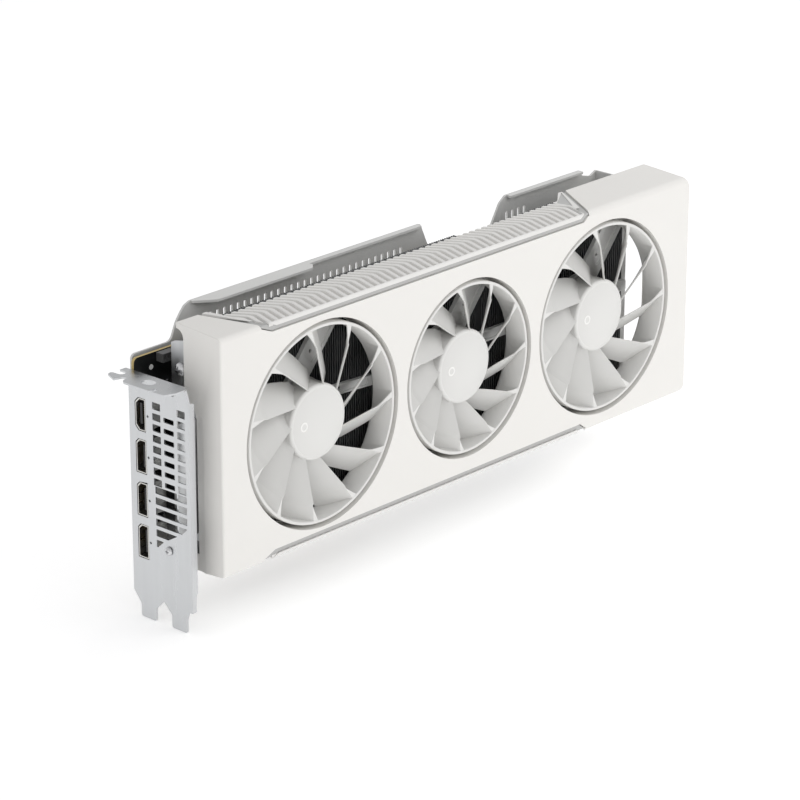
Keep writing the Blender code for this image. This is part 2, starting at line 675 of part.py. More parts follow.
def port(name, z_low, z_high, tongue_side):
    """A port's metal shell, open at the front, and the black insulator inside it."""
    y_low, y_high = PORT_Y
    wall, front = 0.5, 0.1
    shell = box(f"{name}_shell", (front, y_low, z_low), (PORT_DEPTH, y_high, z_high))
    join(shell, box("port_foot", (2.0, y_high - 1.0, z_low + 1.0),
                    (PORT_DEPTH - 1.0, BOARD_FRONT - GAP, z_high - 1.0)))
    cut(shell, box("port_mouth", (front - 1.0, y_low + wall, z_low + wall),
                   (PORT_DEPTH - wall, y_high - wall, z_high - wall)))
    finish(shell, NICKEL)
    inset = wall + GAP
    block = box(f"{name}_insulator", (PORT_DEPTH - 3.5, y_low + inset, z_low + inset),
                (PORT_DEPTH - inset, y_high - inset, z_high - inset))
    middle = (y_low + y_high) / 2 + tongue_side
    join(block, box("port_tongue", (1.2, middle - 0.8, z_low + 2.4),
                    (PORT_DEPTH - 3.0, middle + 0.8, z_high - 2.4)))
    return finish(block, BLACK_PLASTIC)


def bracket_support():
    """The angle that ties the bracket to the cooler's end."""
    outline = [(-30.0, 40.0), (-14.0, 40.0), (-14.0, 132.8), (-15.6, 133.6), (-24.0, 135.6),
               (-30.0, 130.0)]
    hole = [circle((-20.5, 121.3), 1.8, 12)]
    obj = plate("bracket_support", (14.2, 0, 0), FACE_X, 1.0, outline, hole)
    join(obj, box("support_foot", (SHEET + GAP, -29.6, 44.0), (14.0, -28.6, 100.0)))
    return finish(obj, STEEL)


# ---------------------------------------------------------------- backplate and fasteners

def backplate():
    """The rear sheet: stepped outline, a row of vents, the far air outlet and bent lips."""
    low, top = PLATE_BOTTOM, PLATE_TOP
    outline = [(PLATE_LEFT, low), (PLATE_RIGHT, low), (PLATE_RIGHT, PLATE_TOP_RIGHT),
               (331.7, PLATE_TOP_RIGHT), (330.9, 138.8), (327.5, 137.2), (320.5, 139.0),
               (319.7, top), (260.8, top), (256.5, 138.8), (250.6, 129.0), (248.0, 126.6),
               (206.0, 126.6), (203.5, 129.0), (197.6, top), (41.0, top), (37.5, 140.6),
               (34.9, 137.8), (31.9, 133.8), (28.8, 126.8), (26.8, 125.7),
               (PLATE_LEFT + 1.5, 125.7), (PLATE_LEFT, 124.2)]
    holes = [rectangle(x - VENT_WIDTH / 2, x + VENT_WIDTH / 2, VENT_LOW, VENT_HIGH)
             for x in (VENT_FIRST + VENT_PITCH * i for i in range(VENTS))]
    holes += [rectangle(x - VENT_WIDTH / 2, x + VENT_WIDTH / 2, VENT_LOW, VENT_HIGH)
              for x in (262.0 + VENT_PITCH * i for i in range(4))]
    holes += [rectangle(x, x + OUTLET_WIDTH, *OUTLET_Z)
              for x in (OUTLET_FIRST + OUTLET_PITCH * i for i in range(OUTLETS))]
    holes += [circle(place, 4.2, 16) for place in cooler_screw_places()]
    holes += [circle(place, 1.7, 12) for place in backplate_screw_places()]
    middle, thickness = (PLATE_FRONT + PLATE_BACK) / 2, PLATE_BACK - PLATE_FRONT
    obj = plate("backplate", (0, middle, 0), STAND_UP, thickness, outline, holes)
    lips = ([(42.0, 2.2), (41.2, 0.4), (51.0, -6.9), (113.5, -6.9), (117.0, -3.6), (117.0, 2.2)],
            [(116.0, 2.2), (116.0, -1.4), (196.0, -1.4), (196.0, 2.2)],
            [(262.0, 2.2), (262.0, -1.4), (319.0, -1.4), (319.0, 2.2)])
    for lip in lips:
        join(obj, plate("lip", (0, 0, top - 0.6), Matrix(), 1.19, lip), "MANIFOLD")
    join(obj, box("end_flange", (PLATE_RIGHT - 1.2, END_FLANGE, low + 3.0),
                  (PLATE_RIGHT - 0.01, PLATE_BACK - 0.2, PLATE_TOP_RIGHT - 0.1)))
    return finish(obj, WHITE_SHEET)


def screw(name, place, axis_turn, head_radius, head_depth, shank_radius, shank_length):
    """A pan-head screw whose head starts at its place and whose shank runs the other way."""
    profile = [(0.0, head_depth), (head_radius * 0.7, head_depth), (head_radius, 0.0),
               (shank_radius, 0.0), (shank_radius, -shank_length), (0.0, -shank_length)]
    obj = turned(name, place, profile, 12)
    obj.matrix_world = Matrix.Translation(world(*place)) @ axis_turn
    return finish(obj, NICKEL)


def fasteners():
    to_left = Matrix.Rotation(math.radians(-90), 4, "Y")
    to_back = Matrix.Rotation(math.radians(-90), 4, "X")
    screw("bracket_screw", (-GAP, -24.3, 37.9), to_left, 2.1, 1.4, 1.3, 5.0)
    screw("support_screw", (13.4, -20.5, 121.3), to_left, 3.2, 2.2, 1.4, 2.2)
    for i, (x, z) in enumerate(cooler_screw_places()):
        screw(f"cooler_screw_{i + 1}", (x, BOARD_BACK + GAP, z), to_back, 3.0, 1.6, 1.4, 3.4)
    for i, (x, z) in enumerate(backplate_screw_places()):
        screw(f"backplate_screw_{i + 1}", (x, PLATE_BACK + GAP, z), to_back, 2.7, 1.1, 1.3, 3.0)


def build():
    shroud()
    trim("top_trim", 1)
    trim("bottom_trim", -1)
    for number in range(3):
        fan_rotor(number)
        fan_stator(number)
        fan_mount(number)
        fan_lead(number)
    fin_stack("fin_stack_main", MAIN_FINS, 33.0, 138.0)
    fin_stack("fin_stack_far", FAR_FINS, 254.0, 137.5)
    fin_end_plate()
    for number in range(4):
        heat_pipe(number)
    cold_plate()
    board()
    components()
    for number in range(2):
        power_connector(number)
    bracket()
    port("hdmi", *HDMI_Z, 0.6)
    for number, (z_low, z_high) in enumerate(DISPLAYPORT_Z):
        port(f"displayport_{number + 1}", z_low, z_high, -1.0)
    bracket_support()
    backplate()
    fasteners()


build()
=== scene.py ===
"""The looks of a white triple-fan graphics card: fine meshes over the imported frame, materials,
floor, light and camera.

Layout numbers are millimetres: X from the slot bracket's outer face, Y from its rear edge (the
fans are at negative Y) and Z from the tips of its tongues. layout() turns them into the frame's
metres.
"""
import json
import math

import bmesh
import bpy
from mathutils import Matrix, Vector


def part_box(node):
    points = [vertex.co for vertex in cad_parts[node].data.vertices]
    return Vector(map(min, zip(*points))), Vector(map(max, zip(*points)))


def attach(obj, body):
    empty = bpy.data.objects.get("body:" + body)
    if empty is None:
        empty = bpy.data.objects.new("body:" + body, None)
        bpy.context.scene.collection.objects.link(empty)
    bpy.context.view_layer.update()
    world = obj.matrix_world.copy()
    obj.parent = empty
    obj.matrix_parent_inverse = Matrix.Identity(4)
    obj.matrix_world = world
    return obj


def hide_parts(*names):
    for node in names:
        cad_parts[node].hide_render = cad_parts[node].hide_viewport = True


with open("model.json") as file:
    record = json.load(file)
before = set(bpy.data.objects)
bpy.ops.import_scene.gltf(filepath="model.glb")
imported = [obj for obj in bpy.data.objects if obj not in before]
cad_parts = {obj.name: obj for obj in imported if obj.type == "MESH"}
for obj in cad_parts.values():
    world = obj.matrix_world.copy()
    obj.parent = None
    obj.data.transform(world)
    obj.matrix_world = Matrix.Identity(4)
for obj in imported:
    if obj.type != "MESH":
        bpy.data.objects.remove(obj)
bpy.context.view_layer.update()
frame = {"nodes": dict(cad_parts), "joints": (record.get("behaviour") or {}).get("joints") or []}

MM = 0.001

# The layout's zero in the frame: the ports' face is 0.1 mm and the board's back 0.9 mm away from it
ZERO = Vector((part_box("hdmi_shell")[0].x - 0.1 * MM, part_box("circuit_board")[1].y + 0.9 * MM,
               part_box("io_bracket")[0].z))


def layout(x, y, z):
    """A layout point in the frame, in metres."""
    return ZERO + Vector((x, y, z)) * MM


def size(node):
    """The low and high corners of a CAD node in layout millimetres."""
    low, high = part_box(node)
    return (low - ZERO) / MM, (high - ZERO) / MM


GAP = 0.3

# Shroud
SHROUD_LOW, SHROUD_HIGH = size("fan_shroud")
LEFT, RIGHT = SHROUD_LOW.x, SHROUD_HIGH.x
FRONT, BACK = SHROUD_LOW.y, SHROUD_HIGH.y
FLARE = 1.9
FRONT_BOTTOM, FRONT_TOP = SHROUD_LOW.z + FLARE, SHROUD_HIGH.z - FLARE
SLOPE = FLARE / (BACK - FRONT)
WALL = 2.0
END_ROUND = 3.7
SIDE_ROUND = 1.0
TOP_ROUND_LEFT, TOP_ROUND_RIGHT = 2.4, 3.2
BOTTOM_ROUND = 1.7
BAND_LOW, BAND_HIGH = 138.0, 140.6
TRIM_REAR = -27.5
TRIM_Y = (-18.0, -49.0)
TRIM_LEFT, TRIM_RIGHT = (24.5, 38.4), (283.0, 266.5)
REAR_OPENING = [(34.0, TRIM_REAR), (267.0, TRIM_REAR), (279.0, -18.0), (29.5, -18.0)]
TRIM_ROUND = 0.7
GUTTER = 2.2
GUTTER_DEPTH = 0.9
FRAME_STRIP = 1.9
RIBS, RIB_PITCH, RIB_WIDTH, RIB_SINK = 58, 4.5, 2.7, 1.6
FIELD_FRONT = -47.4
TRIM_CORNER = [(278.2, -20.7), (264.4, -29.3), (267.7, -36.9)]

# Fans
FANS = (1, 2, 3)
JOINTS = {joint["child"]: Vector(joint["pos_m"]) for joint in frame["joints"]}
FAN_X = [(JOINTS[f"fan_{i}"].x - ZERO.x) / MM for i in FANS]
FAN_Z = (JOINTS["fan_1"].z - ZERO.z) / MM
RING_RADIUS = [(size(f"fan_{i}_rotor")[1].x - size(f"fan_{i}_rotor")[0].x) / 2 for i in FANS]
RING_CLEARANCE = 2.0
RING_WALL = 1.6
RING_FRONT, RING_BACK = -47.4, -35.0
HUB_RADIUS = 18.5
HUB_FRONT, HUB_BACK = -44.2, -33.0
COLLAR_WALL, COLLAR_BACK = 1.6, -31.6
MOUNT_FRONT, MOUNT_BACK = -31.2, -28.9
BLADES, BLADE_SECTIONS, BLADE_CHORDS = 11, 16, 9
BLADE_THICKNESS = 1.1
BLADE_REAR = -35.6
BLADE_CHORD = 13.5

# The two bars behind each fan: direction in degrees, offset to its left, width, rail, and right end
FAN_ARMS = (((50.0, 11.1, 12.0, 1.6, 99.0), (-3.5, 6.9, 5.0, 0.9, 99.0)),
            ((50.0, 4.0, 14.0, 3.0, 99.0), (0.0, 4.4, 5.7, 1.0, 99.0)),
            ((50.0, 5.5, 13.4, 3.0, 99.0), (0.0, 4.4, 5.7, 1.0, 36.9)))

# Cooler
FIN_PITCH, FIN_SHEET = 1.55, 0.42
FIN_STEP = 126.5

# Bracket
SHEET = 0.86
PORT_Y = (size("hdmi_shell")[0].y, -4.1)
PORT_WALL = 0.5
PORTS = {"hdmi": (2.2, 2.2), "displayport_1": (0.3, 1.8), "displayport_2": (0.3, 1.8),
         "displayport_3": (0.3, 1.8)}
VENT_PITCH = 5.26

# Screw heads' depth, by the start of the node's name
HEAD_DEPTH = {"cooler": 1.6, "bracket": 1.4, "support": 2.2, "backplate": 1.1}

# Camera, solved from the photograph
AZIMUTH, ELEVATION = math.radians(-47.49), math.radians(20.51)
LENS, DISTANCE = 159.975, 1720.0
AIM = Vector((159.8, -20.0, 66.1))


# ---------------- mesh helpers

def to_mesh(name, bm):
    mesh = bpy.data.meshes.new(name)
    bm.to_mesh(mesh)
    bm.free()
    return mesh


def link(name, data, matrix=None):
    obj = bpy.data.objects.new(name, data)
    bpy.context.scene.collection.objects.link(obj)
    if matrix is not None:
        obj.matrix_world = matrix
    return obj


def settle(obj):
    """Applies an object's modifiers and transform, turns a curve into a mesh and welds it."""
    bpy.context.view_layer.update()
    depsgraph = bpy.context.evaluated_depsgraph_get()
    mesh = bpy.data.meshes.new_from_object(obj.evaluated_get(depsgraph))
    mesh.transform(obj.matrix_world)
    bm = bmesh.new()
    bm.from_mesh(mesh)
    bmesh.ops.remove_doubles(bm, verts=bm.verts, dist=0.000002)
    bm.to_mesh(mesh)
    bm.free()
    name = obj.name
    bpy.data.objects.remove(obj, do_unlink=True)
    mesh.name = name
    return link(name, mesh)


def smooth(obj, angle=35.0):
    obj.data.shade_smooth()
    obj.data.set_sharp_from_angle(angle=math.radians(angle))
    return obj


def shape(obj, operation, *others, solver="EXACT"):
    """Booleans an object with others, which are used up, and returns the settled result."""
    for other in others:
        modifier = obj.modifiers.new(operation.lower(), "BOOLEAN")
        modifier.operation = operation
        modifier.solver = solver
        modifier.object = other
    obj = settle(obj)
    for other in others:
        bpy.data.objects.remove(other, do_unlink=True)
    return obj


def cut(obj, *others):
    return shape(obj, "DIFFERENCE", *others)


def join(obj, *others, solver="EXACT"):
    return shape(obj, "UNION", *others, solver=solver)


def keep_inside(obj, *others):
    return shape(obj, "INTERSECT", *others)


def boxes(name, *spans):
    """One mesh of boxes between layout corners."""
    bm = bmesh.new()
    for low, high in spans:
        made = bmesh.ops.create_cube(bm, size=1.0)
        low, high = layout(*low), layout(*high)
        for vert in made["verts"]:
            share = vert.co + Vector((0.5, 0.5, 0.5))
            vert.co = Vector([a + (b - a) * s for a, b, s in zip(low, high, share)])
    return link(name, to_mesh(name, bm))


def cylinder(name, centre, radius, low, high, axis="Y", segments=48):
    """A cylinder about an axis through a layout point, between two places along that axis."""
    bm = bmesh.new()
    bmesh.ops.create_cone(bm, cap_ends=True, segments=segments, radius1=radius * MM,
                          radius2=radius * MM, depth=(high - low) * MM)
    turn = {"X": Matrix.Rotation(math.radians(90), 4, "Y"),
            "Y": Matrix.Rotation(math.radians(90), 4, "X"), "Z": Matrix()}[axis]
    place = Vector(centre)
    place["XYZ".index(axis)] = (low + high) / 2
    bm.transform(Matrix.Translation(layout(*place)) @ turn)
    return link(name, to_mesh(name, bm))


def skin(bm, rows, closed_rows=False):
    """Skins rows of frame points, each a closed ring, and caps both ends unless they join."""
    grid = [[bm.verts.new(point) for point in row] for row in rows]
    pairs = list(zip(grid, grid[1:]))
    if closed_rows:
        pairs.append((grid[-1], grid[0]))
    for a, b in pairs:
        for i in range(len(a)):
            j = (i + 1) % len(a)
            bm.faces.new([a[i], a[j], b[j], b[i]])
    if not closed_rows:
        bm.faces.new(grid[0])
        bm.faces.new(grid[-1])


def loft(name, rows, closed_rows=False):
    """One skinned shape as an object."""
    bm = bmesh.new()
    skin(bm, rows, closed_rows)
    bmesh.ops.remove_doubles(bm, verts=bm.verts, dist=0.0000005)
    bmesh.ops.recalc_face_normals(bm, faces=bm.faces)
    return link(name, to_mesh(name, bm))


def turned(name, centre, profile, segments=96):
    """A solid turned about an axis along Y through (X, Z); the profile is (radius, Y) in mm."""
    rows = []
    for step in range(segments):
        angle = 2 * math.pi * step / segments
        rows.append([layout(centre[0] + r * math.cos(angle), y, centre[1] + r * math.sin(angle))
                     for r, y in profile])
    return loft(name, rows, closed_rows=True)


def arc(centre, radius, start, end, steps=6):
    """Points on an arc, angles in degrees."""
    turns = [math.radians(start + (end - start) * i / steps) for i in range(steps + 1)]
    return [(centre[0] + radius * math.cos(t), centre[1] + radius * math.sin(t)) for t in turns]


def rounded(low, high, radius, steps=4):
    """A rectangle's outline with rounded corners."""
    (a, b), (c, d), r = low, high, radius
    return (arc((c - r, b + r), r, -90, 0, steps) + arc((c - r, d - r), r, 0, 90, steps)
            + arc((a + r, d - r), r, 90, 180, steps) + arc((a + r, b + r), r, 180, 270, steps))


def eased(points, radius, steps=3):
    """An outline with each corner replaced by a short curve, as far as its sides allow."""
    made = []
    for i, point in enumerate(points):
        here = Vector(point)
        before, after = Vector(points[i - 1]) - here, Vector(points[(i + 1) % len(points)]) - here
        reach = min(radius, before.length * 0.45, after.length * 0.45)
        a, b = here + before.normalized() * reach, here + after.normalized() * reach
        for step in range(steps + 1):
            t = step / steps
            made.append(tuple(a * (1 - t) ** 2 + here * 2 * t * (1 - t) + b * t * t))
    return made


def plate(name, outline, low, high, facing, holes=()):
    """A flat outline with holes, given its thickness between two places along the facing axis.

    The outline is (X, Z) for facing Y, (Y, Z) for facing X and (X, Y) for facing Z.
    """
    curve = bpy.data.curves.new(name, "CURVE")
    curve.dimensions = "2D"
    curve.fill_mode = "BOTH"
    curve.extrude = (high - low) / 2 * MM
    for points in (outline, *holes):
        spline = curve.splines.new("POLY")
        spline.points.add(len(points) - 1)
        for point, (u, v) in zip(spline.points, points):
            point.co = (u * MM, v * MM, 0.0, 1.0)
        spline.use_cyclic_u = True
    middle = (low + high) / 2
    stand = Matrix.Rotation(math.radians(90), 4, "X")
    turn, place = {"Y": (stand, (0, middle, 0)),
                   "X": (Matrix.Rotation(math.radians(90), 4, "Z") @ stand, (middle, 0, 0)),
                   "Z": (Matrix(), (0, 0, middle))}[facing]
    return settle(link(name, curve, Matrix.Translation(layout(*place)) @ turn))


def soften(obj, width, segments=2, angle=35.0):
    """Rounds an object's sharp edges and shades it smooth between them."""
    obj.data.shade_smooth()
    bevel = obj.modifiers.new("edges", "BEVEL")
    bevel.width = width * MM
    bevel.segments = segments
    bevel.limit_method = "ANGLE"
    bevel.angle_limit = math.radians(angle)
    bevel.miter_outer = "MITER_ARC"
    bevel.harden_normals = True
    return obj


def finish(obj, width, segments=2, angle=35.0):
    """Rounds an object's edges by a width in mm, and keeps the sharper ones crisp in shading."""
    return smooth(soften(obj, width, segments, angle), angle)


def copy_of(node, name):
    """A welded copy of a CAD node."""
    bm = bmesh.new()
    bm.from_mesh(frame["nodes"][node].data)
    bmesh.ops.remove_doubles(bm, verts=bm.verts, dist=0.000001)
    return link(name, to_mesh(name, bm))


def rectangle(u_low, u_high, v_low, v_high):
    return [(u_low, v_low), (u_high, v_low), (u_high, v_high), (u_low, v_high)]


def dress(obj, material, slot, *nodes, body="card"):
    """Gives a piece its material and the body it rides on, and hides the CAD nodes it stands for;
    the slot is not used.
    """
    obj.data.materials.clear()
    obj.data.materials.append(material)
    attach(obj, body)
    if nodes:
        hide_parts(*nodes)


# ---------------- materials

class Look:
    """A Principled material with fine grain, soft colour variation and uneven roughness."""

    def __init__(self, name, colour, roughness, metallic=0.0):
        self.material = bpy.data.materials.new(name)
        self.material.use_nodes = True
        self.nodes = self.material.node_tree.nodes
        self.shader = self.nodes["Principled BSDF"]
        self.colour, self.roughness = colour, roughness
        self.shader.inputs["Base Color"].default_value = (*colour, 1.0)
        self.shader.inputs["Roughness"].default_value = roughness
        self.shader.inputs["Metallic"].default_value = metallic
        self.place = self.nodes.new("ShaderNodeTexCoord").outputs["Object"]

    def wire(self, output, socket):
        self.material.node_tree.links.new(output, socket)

    def noise(self, period, detail=3.0, stretch=(1.0, 1.0, 1.0)):
        """Noise whose features are about a period across, in mm; stretch lengthens them."""
        mapping = self.nodes.new("ShaderNodeMapping")
        mapping.inputs["Scale"].default_value = [1.0 / s for s in stretch]
        noise = self.nodes.new("ShaderNodeTexNoise")
        noise.inputs["Scale"].default_value = 1.0 / (period * MM)
        noise.inputs["Detail"].default_value = detail
        self.wire(self.place, mapping.inputs["Vector"])
        self.wire(mapping.outputs["Vector"], noise.inputs["Vector"])
        return noise.outputs["Fac"]

    def ranged(self, value, low, high, start=0.3, end=0.7):
        node = self.nodes.new("ShaderNodeMapRange")
        node.inputs["From Min"].default_value = start
        node.inputs["From Max"].default_value = end
        node.inputs["To Min"].default_value = low
        node.inputs["To Max"].default_value = high
        self.wire(value, node.inputs["Value"])
        return node.outputs["Result"]

    def grain(self, period, depth, detail=3.0, stretch=(1.0, 1.0, 1.0)):
        """Bumps a depth in mm high."""
        bump = self.nodes.new("ShaderNodeBump")
        bump.inputs["Strength"].default_value = 1.0
        bump.inputs["Distance"].default_value = depth * MM
        self.wire(self.noise(period, detail, stretch), bump.inputs["Height"])
        self.wire(bump.outputs["Normal"], self.shader.inputs["Normal"])
        return self

    def varied(self, period, amount, stretch=(1.0, 1.0, 1.0)):
        """Makes the colour drift by an amount either way."""
        mix = self.nodes.new("ShaderNodeMix")
        mix.data_type = "RGBA"
        mix.inputs["A"].default_value = (*[c * (1 - amount) for c in self.colour], 1.0)
        mix.inputs["B"].default_value = (*[min(1.0, c * (1 + amount)) for c in self.colour], 1.0)
        self.wire(self.noise(period, 2.0, stretch), mix.inputs["Factor"])
        self.wire(mix.outputs["Result"], self.shader.inputs["Base Color"])
        return self

    def uneven(self, period, amount, stretch=(1.0, 1.0, 1.0)):
        """Makes the roughness drift by an amount either way."""
        drift = self.ranged(self.noise(period, 3.0, stretch), self.roughness - amount,
                            self.roughness + amount)
        self.wire(drift, self.shader.inputs["Roughness"])
        return self


def plastic(name, colour, roughness, grain=0.25, depth=0.006, variation=0.012):
    """Moulded plastic with a fine spark-eroded texture."""
    look = Look(name, colour, roughness).grain(grain, depth)
    return look.varied(22.0, variation).uneven(9.0, 0.05).material


def sheet_metal(name, colour, roughness, stretch=(1.0, 1.0, 14.0), metallic=1.0):
    """Plated sheet metal with faint rolling marks along one axis."""
    look = Look(name, colour, roughness, metallic).grain(0.35, 0.0025, 4.0, stretch)
    return look.varied(12.0, 0.03, stretch).uneven(2.5, 0.07, stretch).material


WHITE = plastic("shroud_white", (0.83, 0.815, 0.785), 0.48)
TRIM_GREY = plastic("trim_pearl", (0.79, 0.78, 0.76), 0.45, 0.2, 0.004)
# Grey of the trims' channels; the same grey also paints shade on a patch in each trim's rear corner
CHANNEL_GREY_AND_PAINTED_SHADE = plastic("trim_channel_and_painted_shade", (0.50, 0.50, 0.49), 0.5, 0.2, 0.004)
HEADER_GREY = plastic("header_grey", (0.10, 0.10, 0.10), 0.45)
MOUNT_GREY = plastic("mount_grey", (0.70, 0.70, 0.69), 0.5)
FAN_WHITE = plastic("fan_white", (0.75, 0.745, 0.725), 0.38, 0.3, 0.003)
BLACK = plastic("connector_black", (0.016, 0.016, 0.016), 0.42)
FERRITE = plastic("choke_ferrite", (0.10, 0.10, 0.105), 0.7, 0.4, 0.02, 0.06)
EPOXY = plastic("chip_epoxy", (0.028, 0.028, 0.03), 0.55, 0.3, 0.008, 0.04)
FINS = sheet_metal("fin_coating", (0.20, 0.205, 0.21), 0.42, (1.0, 1.0, 8.0), 0.4)
PAINT = (Look("backplate_paint", (0.70, 0.70, 0.685), 0.42).grain(0.5, 0.01).varied(30.0, 0.012)
         .uneven(6.0, 0.05).material)
BRACKET_METAL = sheet_metal("bracket_plate", (0.60, 0.61, 0.62), 0.33)
PORT_METAL = sheet_metal("port_shell", (0.62, 0.61, 0.58), 0.3, (8.0, 1.0, 1.0))
SCREW_METAL = sheet_metal("screw_plate", (0.68, 0.68, 0.69), 0.25, (1.0, 1.0, 1.0))
PIPE = sheet_metal("pipe_nickel", (0.70, 0.70, 0.70), 0.28, (14.0, 1.0, 1.0))
COPPER = sheet_metal("plate_copper", (0.75, 0.40, 0.25), 0.28, (1.0, 1.0, 8.0))
WINDING = sheet_metal("motor_steel", (0.45, 0.40, 0.36), 0.4, (1.0, 6.0, 1.0))
SILICON = (Look("die_silicon", (0.09, 0.10, 0.13), 0.12, 0.4).varied(2.0, 0.1)
           .uneven(3.0, 0.04).material)
GOLD = sheet_metal("contact_gold", (0.90, 0.66, 0.30), 0.25, (1.0, 1.0, 6.0))
LAMINATE = plastic("board_edge", (0.55, 0.42, 0.17), 0.5, 0.15, 0.01, 0.1)
MARK = plastic("hub_mark", (0.90, 0.89, 0.87), 0.3)


def solder_mask():
    """Black lacquer over etched traces, which show as faint raised lines."""
    look = Look("solder_mask", (0.010, 0.011, 0.011), 0.35)
    wave = look.nodes.new("ShaderNodeTexWave")
    wave.wave_type = "BANDS"
    wave.bands_direction = "DIAGONAL"
    wave.inputs["Scale"].default_value = 260.0
    wave.inputs["Distortion"].default_value = 2.0
    look.wire(look.place, wave.inputs["Vector"])
    bump = look.nodes.new("ShaderNodeBump")
    bump.inputs["Strength"].default_value = 0.6
    bump.inputs["Distance"].default_value = 0.02 * MM
    look.wire(look.ranged(wave.outputs["Fac"], 0.0, 1.0, 0.45, 0.55), bump.inputs["Height"])
    look.wire(bump.outputs["Normal"], look.shader.inputs["Normal"])
    return look.varied(6.0, 0.3).uneven(4.0, 0.06).material


MASK = solder_mask()


# ---------------- shroud

def ease(value, start, end):
    """A smooth step from 0 at the start to 1 at the end."""
    share = min(1.0, max(0.0, (value - start) / (end - start)))
    return share * share * (3.0 - 2.0 * share)


def quarter(radius, distance):
    """How far a quarter round of that radius stands in, at a distance from its end."""
    if distance >= radius:
        return 0.0
    return radius - math.sqrt(max(0.0, radius * radius - (radius - distance) ** 2))


def shroud_row(x, inset, back, top_round):
    """The shroud's outline (Y, Z) at one X, as frame points; inset shrinks the form."""
    from_left, from_right = x - LEFT - inset, RIGHT - inset - x
    side = max(0.2, SIDE_ROUND - inset)
    in_y = max(quarter(side, from_left), quarter(side, from_right))
    in_z = max(quarter(0.4, from_left), quarter(max(0.2, END_ROUND - inset), from_right))
    front = FRONT + inset + in_y
    top, bottom = FRONT_TOP - inset - in_z, FRONT_BOTTOM + inset + in_z
    blend = ease(x, 225.0, 290.0)
    own_round = TOP_ROUND_LEFT + (TOP_ROUND_RIGHT - TOP_ROUND_LEFT) * blend
    r_top = max(0.3, (top_round or own_round) - inset)
    r_low = max(0.3, BOTTOM_ROUND - inset)
    points = [(back, top)]
    points += [(front + r_top * (1 - math.sin(a)), top - r_top * (1 - math.cos(a)))
               for a in (math.radians(7.5 * i) for i in range(13))]
    points += [(front + r_low * (1 - math.cos(a)), bottom + r_low * (1 - math.sin(a)))
               for a in (math.radians(15 * i) for i in range(7))]
    points.append((back, bottom))
    middle = (FRONT_TOP + FRONT_BOTTOM) / 2
    return [layout(x, y, z + math.copysign(SLOPE * (y - FRONT), z - middle)) for y, z in points]


def shroud_form(name, inset=0.0, back=BACK, top_round=None):
    """The shroud's outer form as a solid, or one that is smaller by the inset."""
    left, right = LEFT + inset, RIGHT - inset
    steps = [1 - math.cos(math.radians(11.25 * i)) for i in range(9)]
    stations = {left + SIDE_ROUND * s for s in steps} | {right - END_ROUND * s for s in steps}
    stations |= {right - SIDE_ROUND * s for s in steps} | {left + 0.4 * s for s in steps[::2]}
    stations |= {225.0 + 5.0 * i for i in range(14)}
    return loft(name, [shroud_row(x, inset, back, top_round) for x in sorted(stations)])


def hollow():
    """The room inside the shroud's walls."""
    return shroud_form("hollow", WALL, BACK + 1.0)


def trim_form(inset):
    """The shroud's form with the tighter front edge that the trims have."""
    return shroud_form("trim_form", inset, BACK, TRIM_ROUND)


def trim_end(side, y, inset):
    """X of a trim's slanted left (side 1) or right (-1) end, at one Y."""
    rear, front = TRIM_LEFT if side > 0 else TRIM_RIGHT
    return rear + (front - rear) * (TRIM_Y[0] - y) / (TRIM_Y[0] - TRIM_Y[1]) + side * 1.1 * inset


def wall_level(sign):
    """Z of the shroud's top (sign 1) or bottom (-1) wall at its front."""
    return FRONT_TOP if sign > 0 else FRONT_BOTTOM


def slab(name, outline, sign, inward=6.0, outward=12.0):
    """An outline seen from above (X, Y), raised through the top (sign 1) or bottom (-1) wall."""
    low, high = sorted((wall_level(sign) - sign * inward, wall_level(sign) + sign * outward))
    return plate(name, outline, low, high, "Z")


def trim_prism(sign, inset=0.0, open_rear=True):
    """The trim's outline raised into a solid through its wall, and stepped at both ends."""
    rear, front = TRIM_Y
    outline = [(trim_end(side, y, inset), y)
               for side, y in ((1, rear), (1, front), (-1, front), (-1, rear))]
    if open_rear:
        grow = min(inset, 0.0)
        front_left, front_right, rear_right, rear_left = REAR_OPENING
        outline += [(rear_right[0] + grow, rear), (front_right[0] + grow, TRIM_REAR),
                    (front_left[0] - grow, TRIM_REAR), (rear_left[0] - grow, rear)]
    prism = slab("trim_prism", outline, sign)
    reach = 12.0
    band, step = BAND_LOW - FRONT_TOP + inset, BAND_HIGH - FRONT_TOP + inset
    face = [(10.0, reach), (10.0, step), (38.4 + inset, step), (44.8 + inset, band),
            (263.0 - inset, band), (266.5 - inset, step), (300.0, step), (300.0, reach)]
    face = [(x, wall_level(sign) + sign * z) for x, z in face]
    return keep_inside(prism, plate("trim_face", face, -54.0, -14.0, "Y"))


def ribbed_field(sign, rear, depth=0.0, spread=0.0):
    """The part of a trim inside its frame strip; a depth keeps only what lies above it."""
    inset, front = GUTTER + FRAME_STRIP - spread, FIELD_FRONT - spread
    outline = [(trim_end(1, rear, inset), rear), (trim_end(1, front, inset), front),
               (trim_end(-1, front, inset), front), (267.0 + spread, -37.2),
               (263.6 + spread, -29.6), (263.6 + spread, rear)]
    field = slab("field", outline, sign)
    return cut(field, trim_form(depth)) if depth else field


def rib_path(start):
    """A rib seen from above: straight back from the frame, then swept towards the bracket."""
    x, y, step = start, FIELD_FRONT - 0.6, 0.7
    points = [(x, y)]
    while y < TRIM_REAR + 1.5:
        drift = 0.25 - 1.13 * ease(y, -38.5, -33.5)
        x, y = x + drift * step, y + step
        points.append((x, y))
    return points


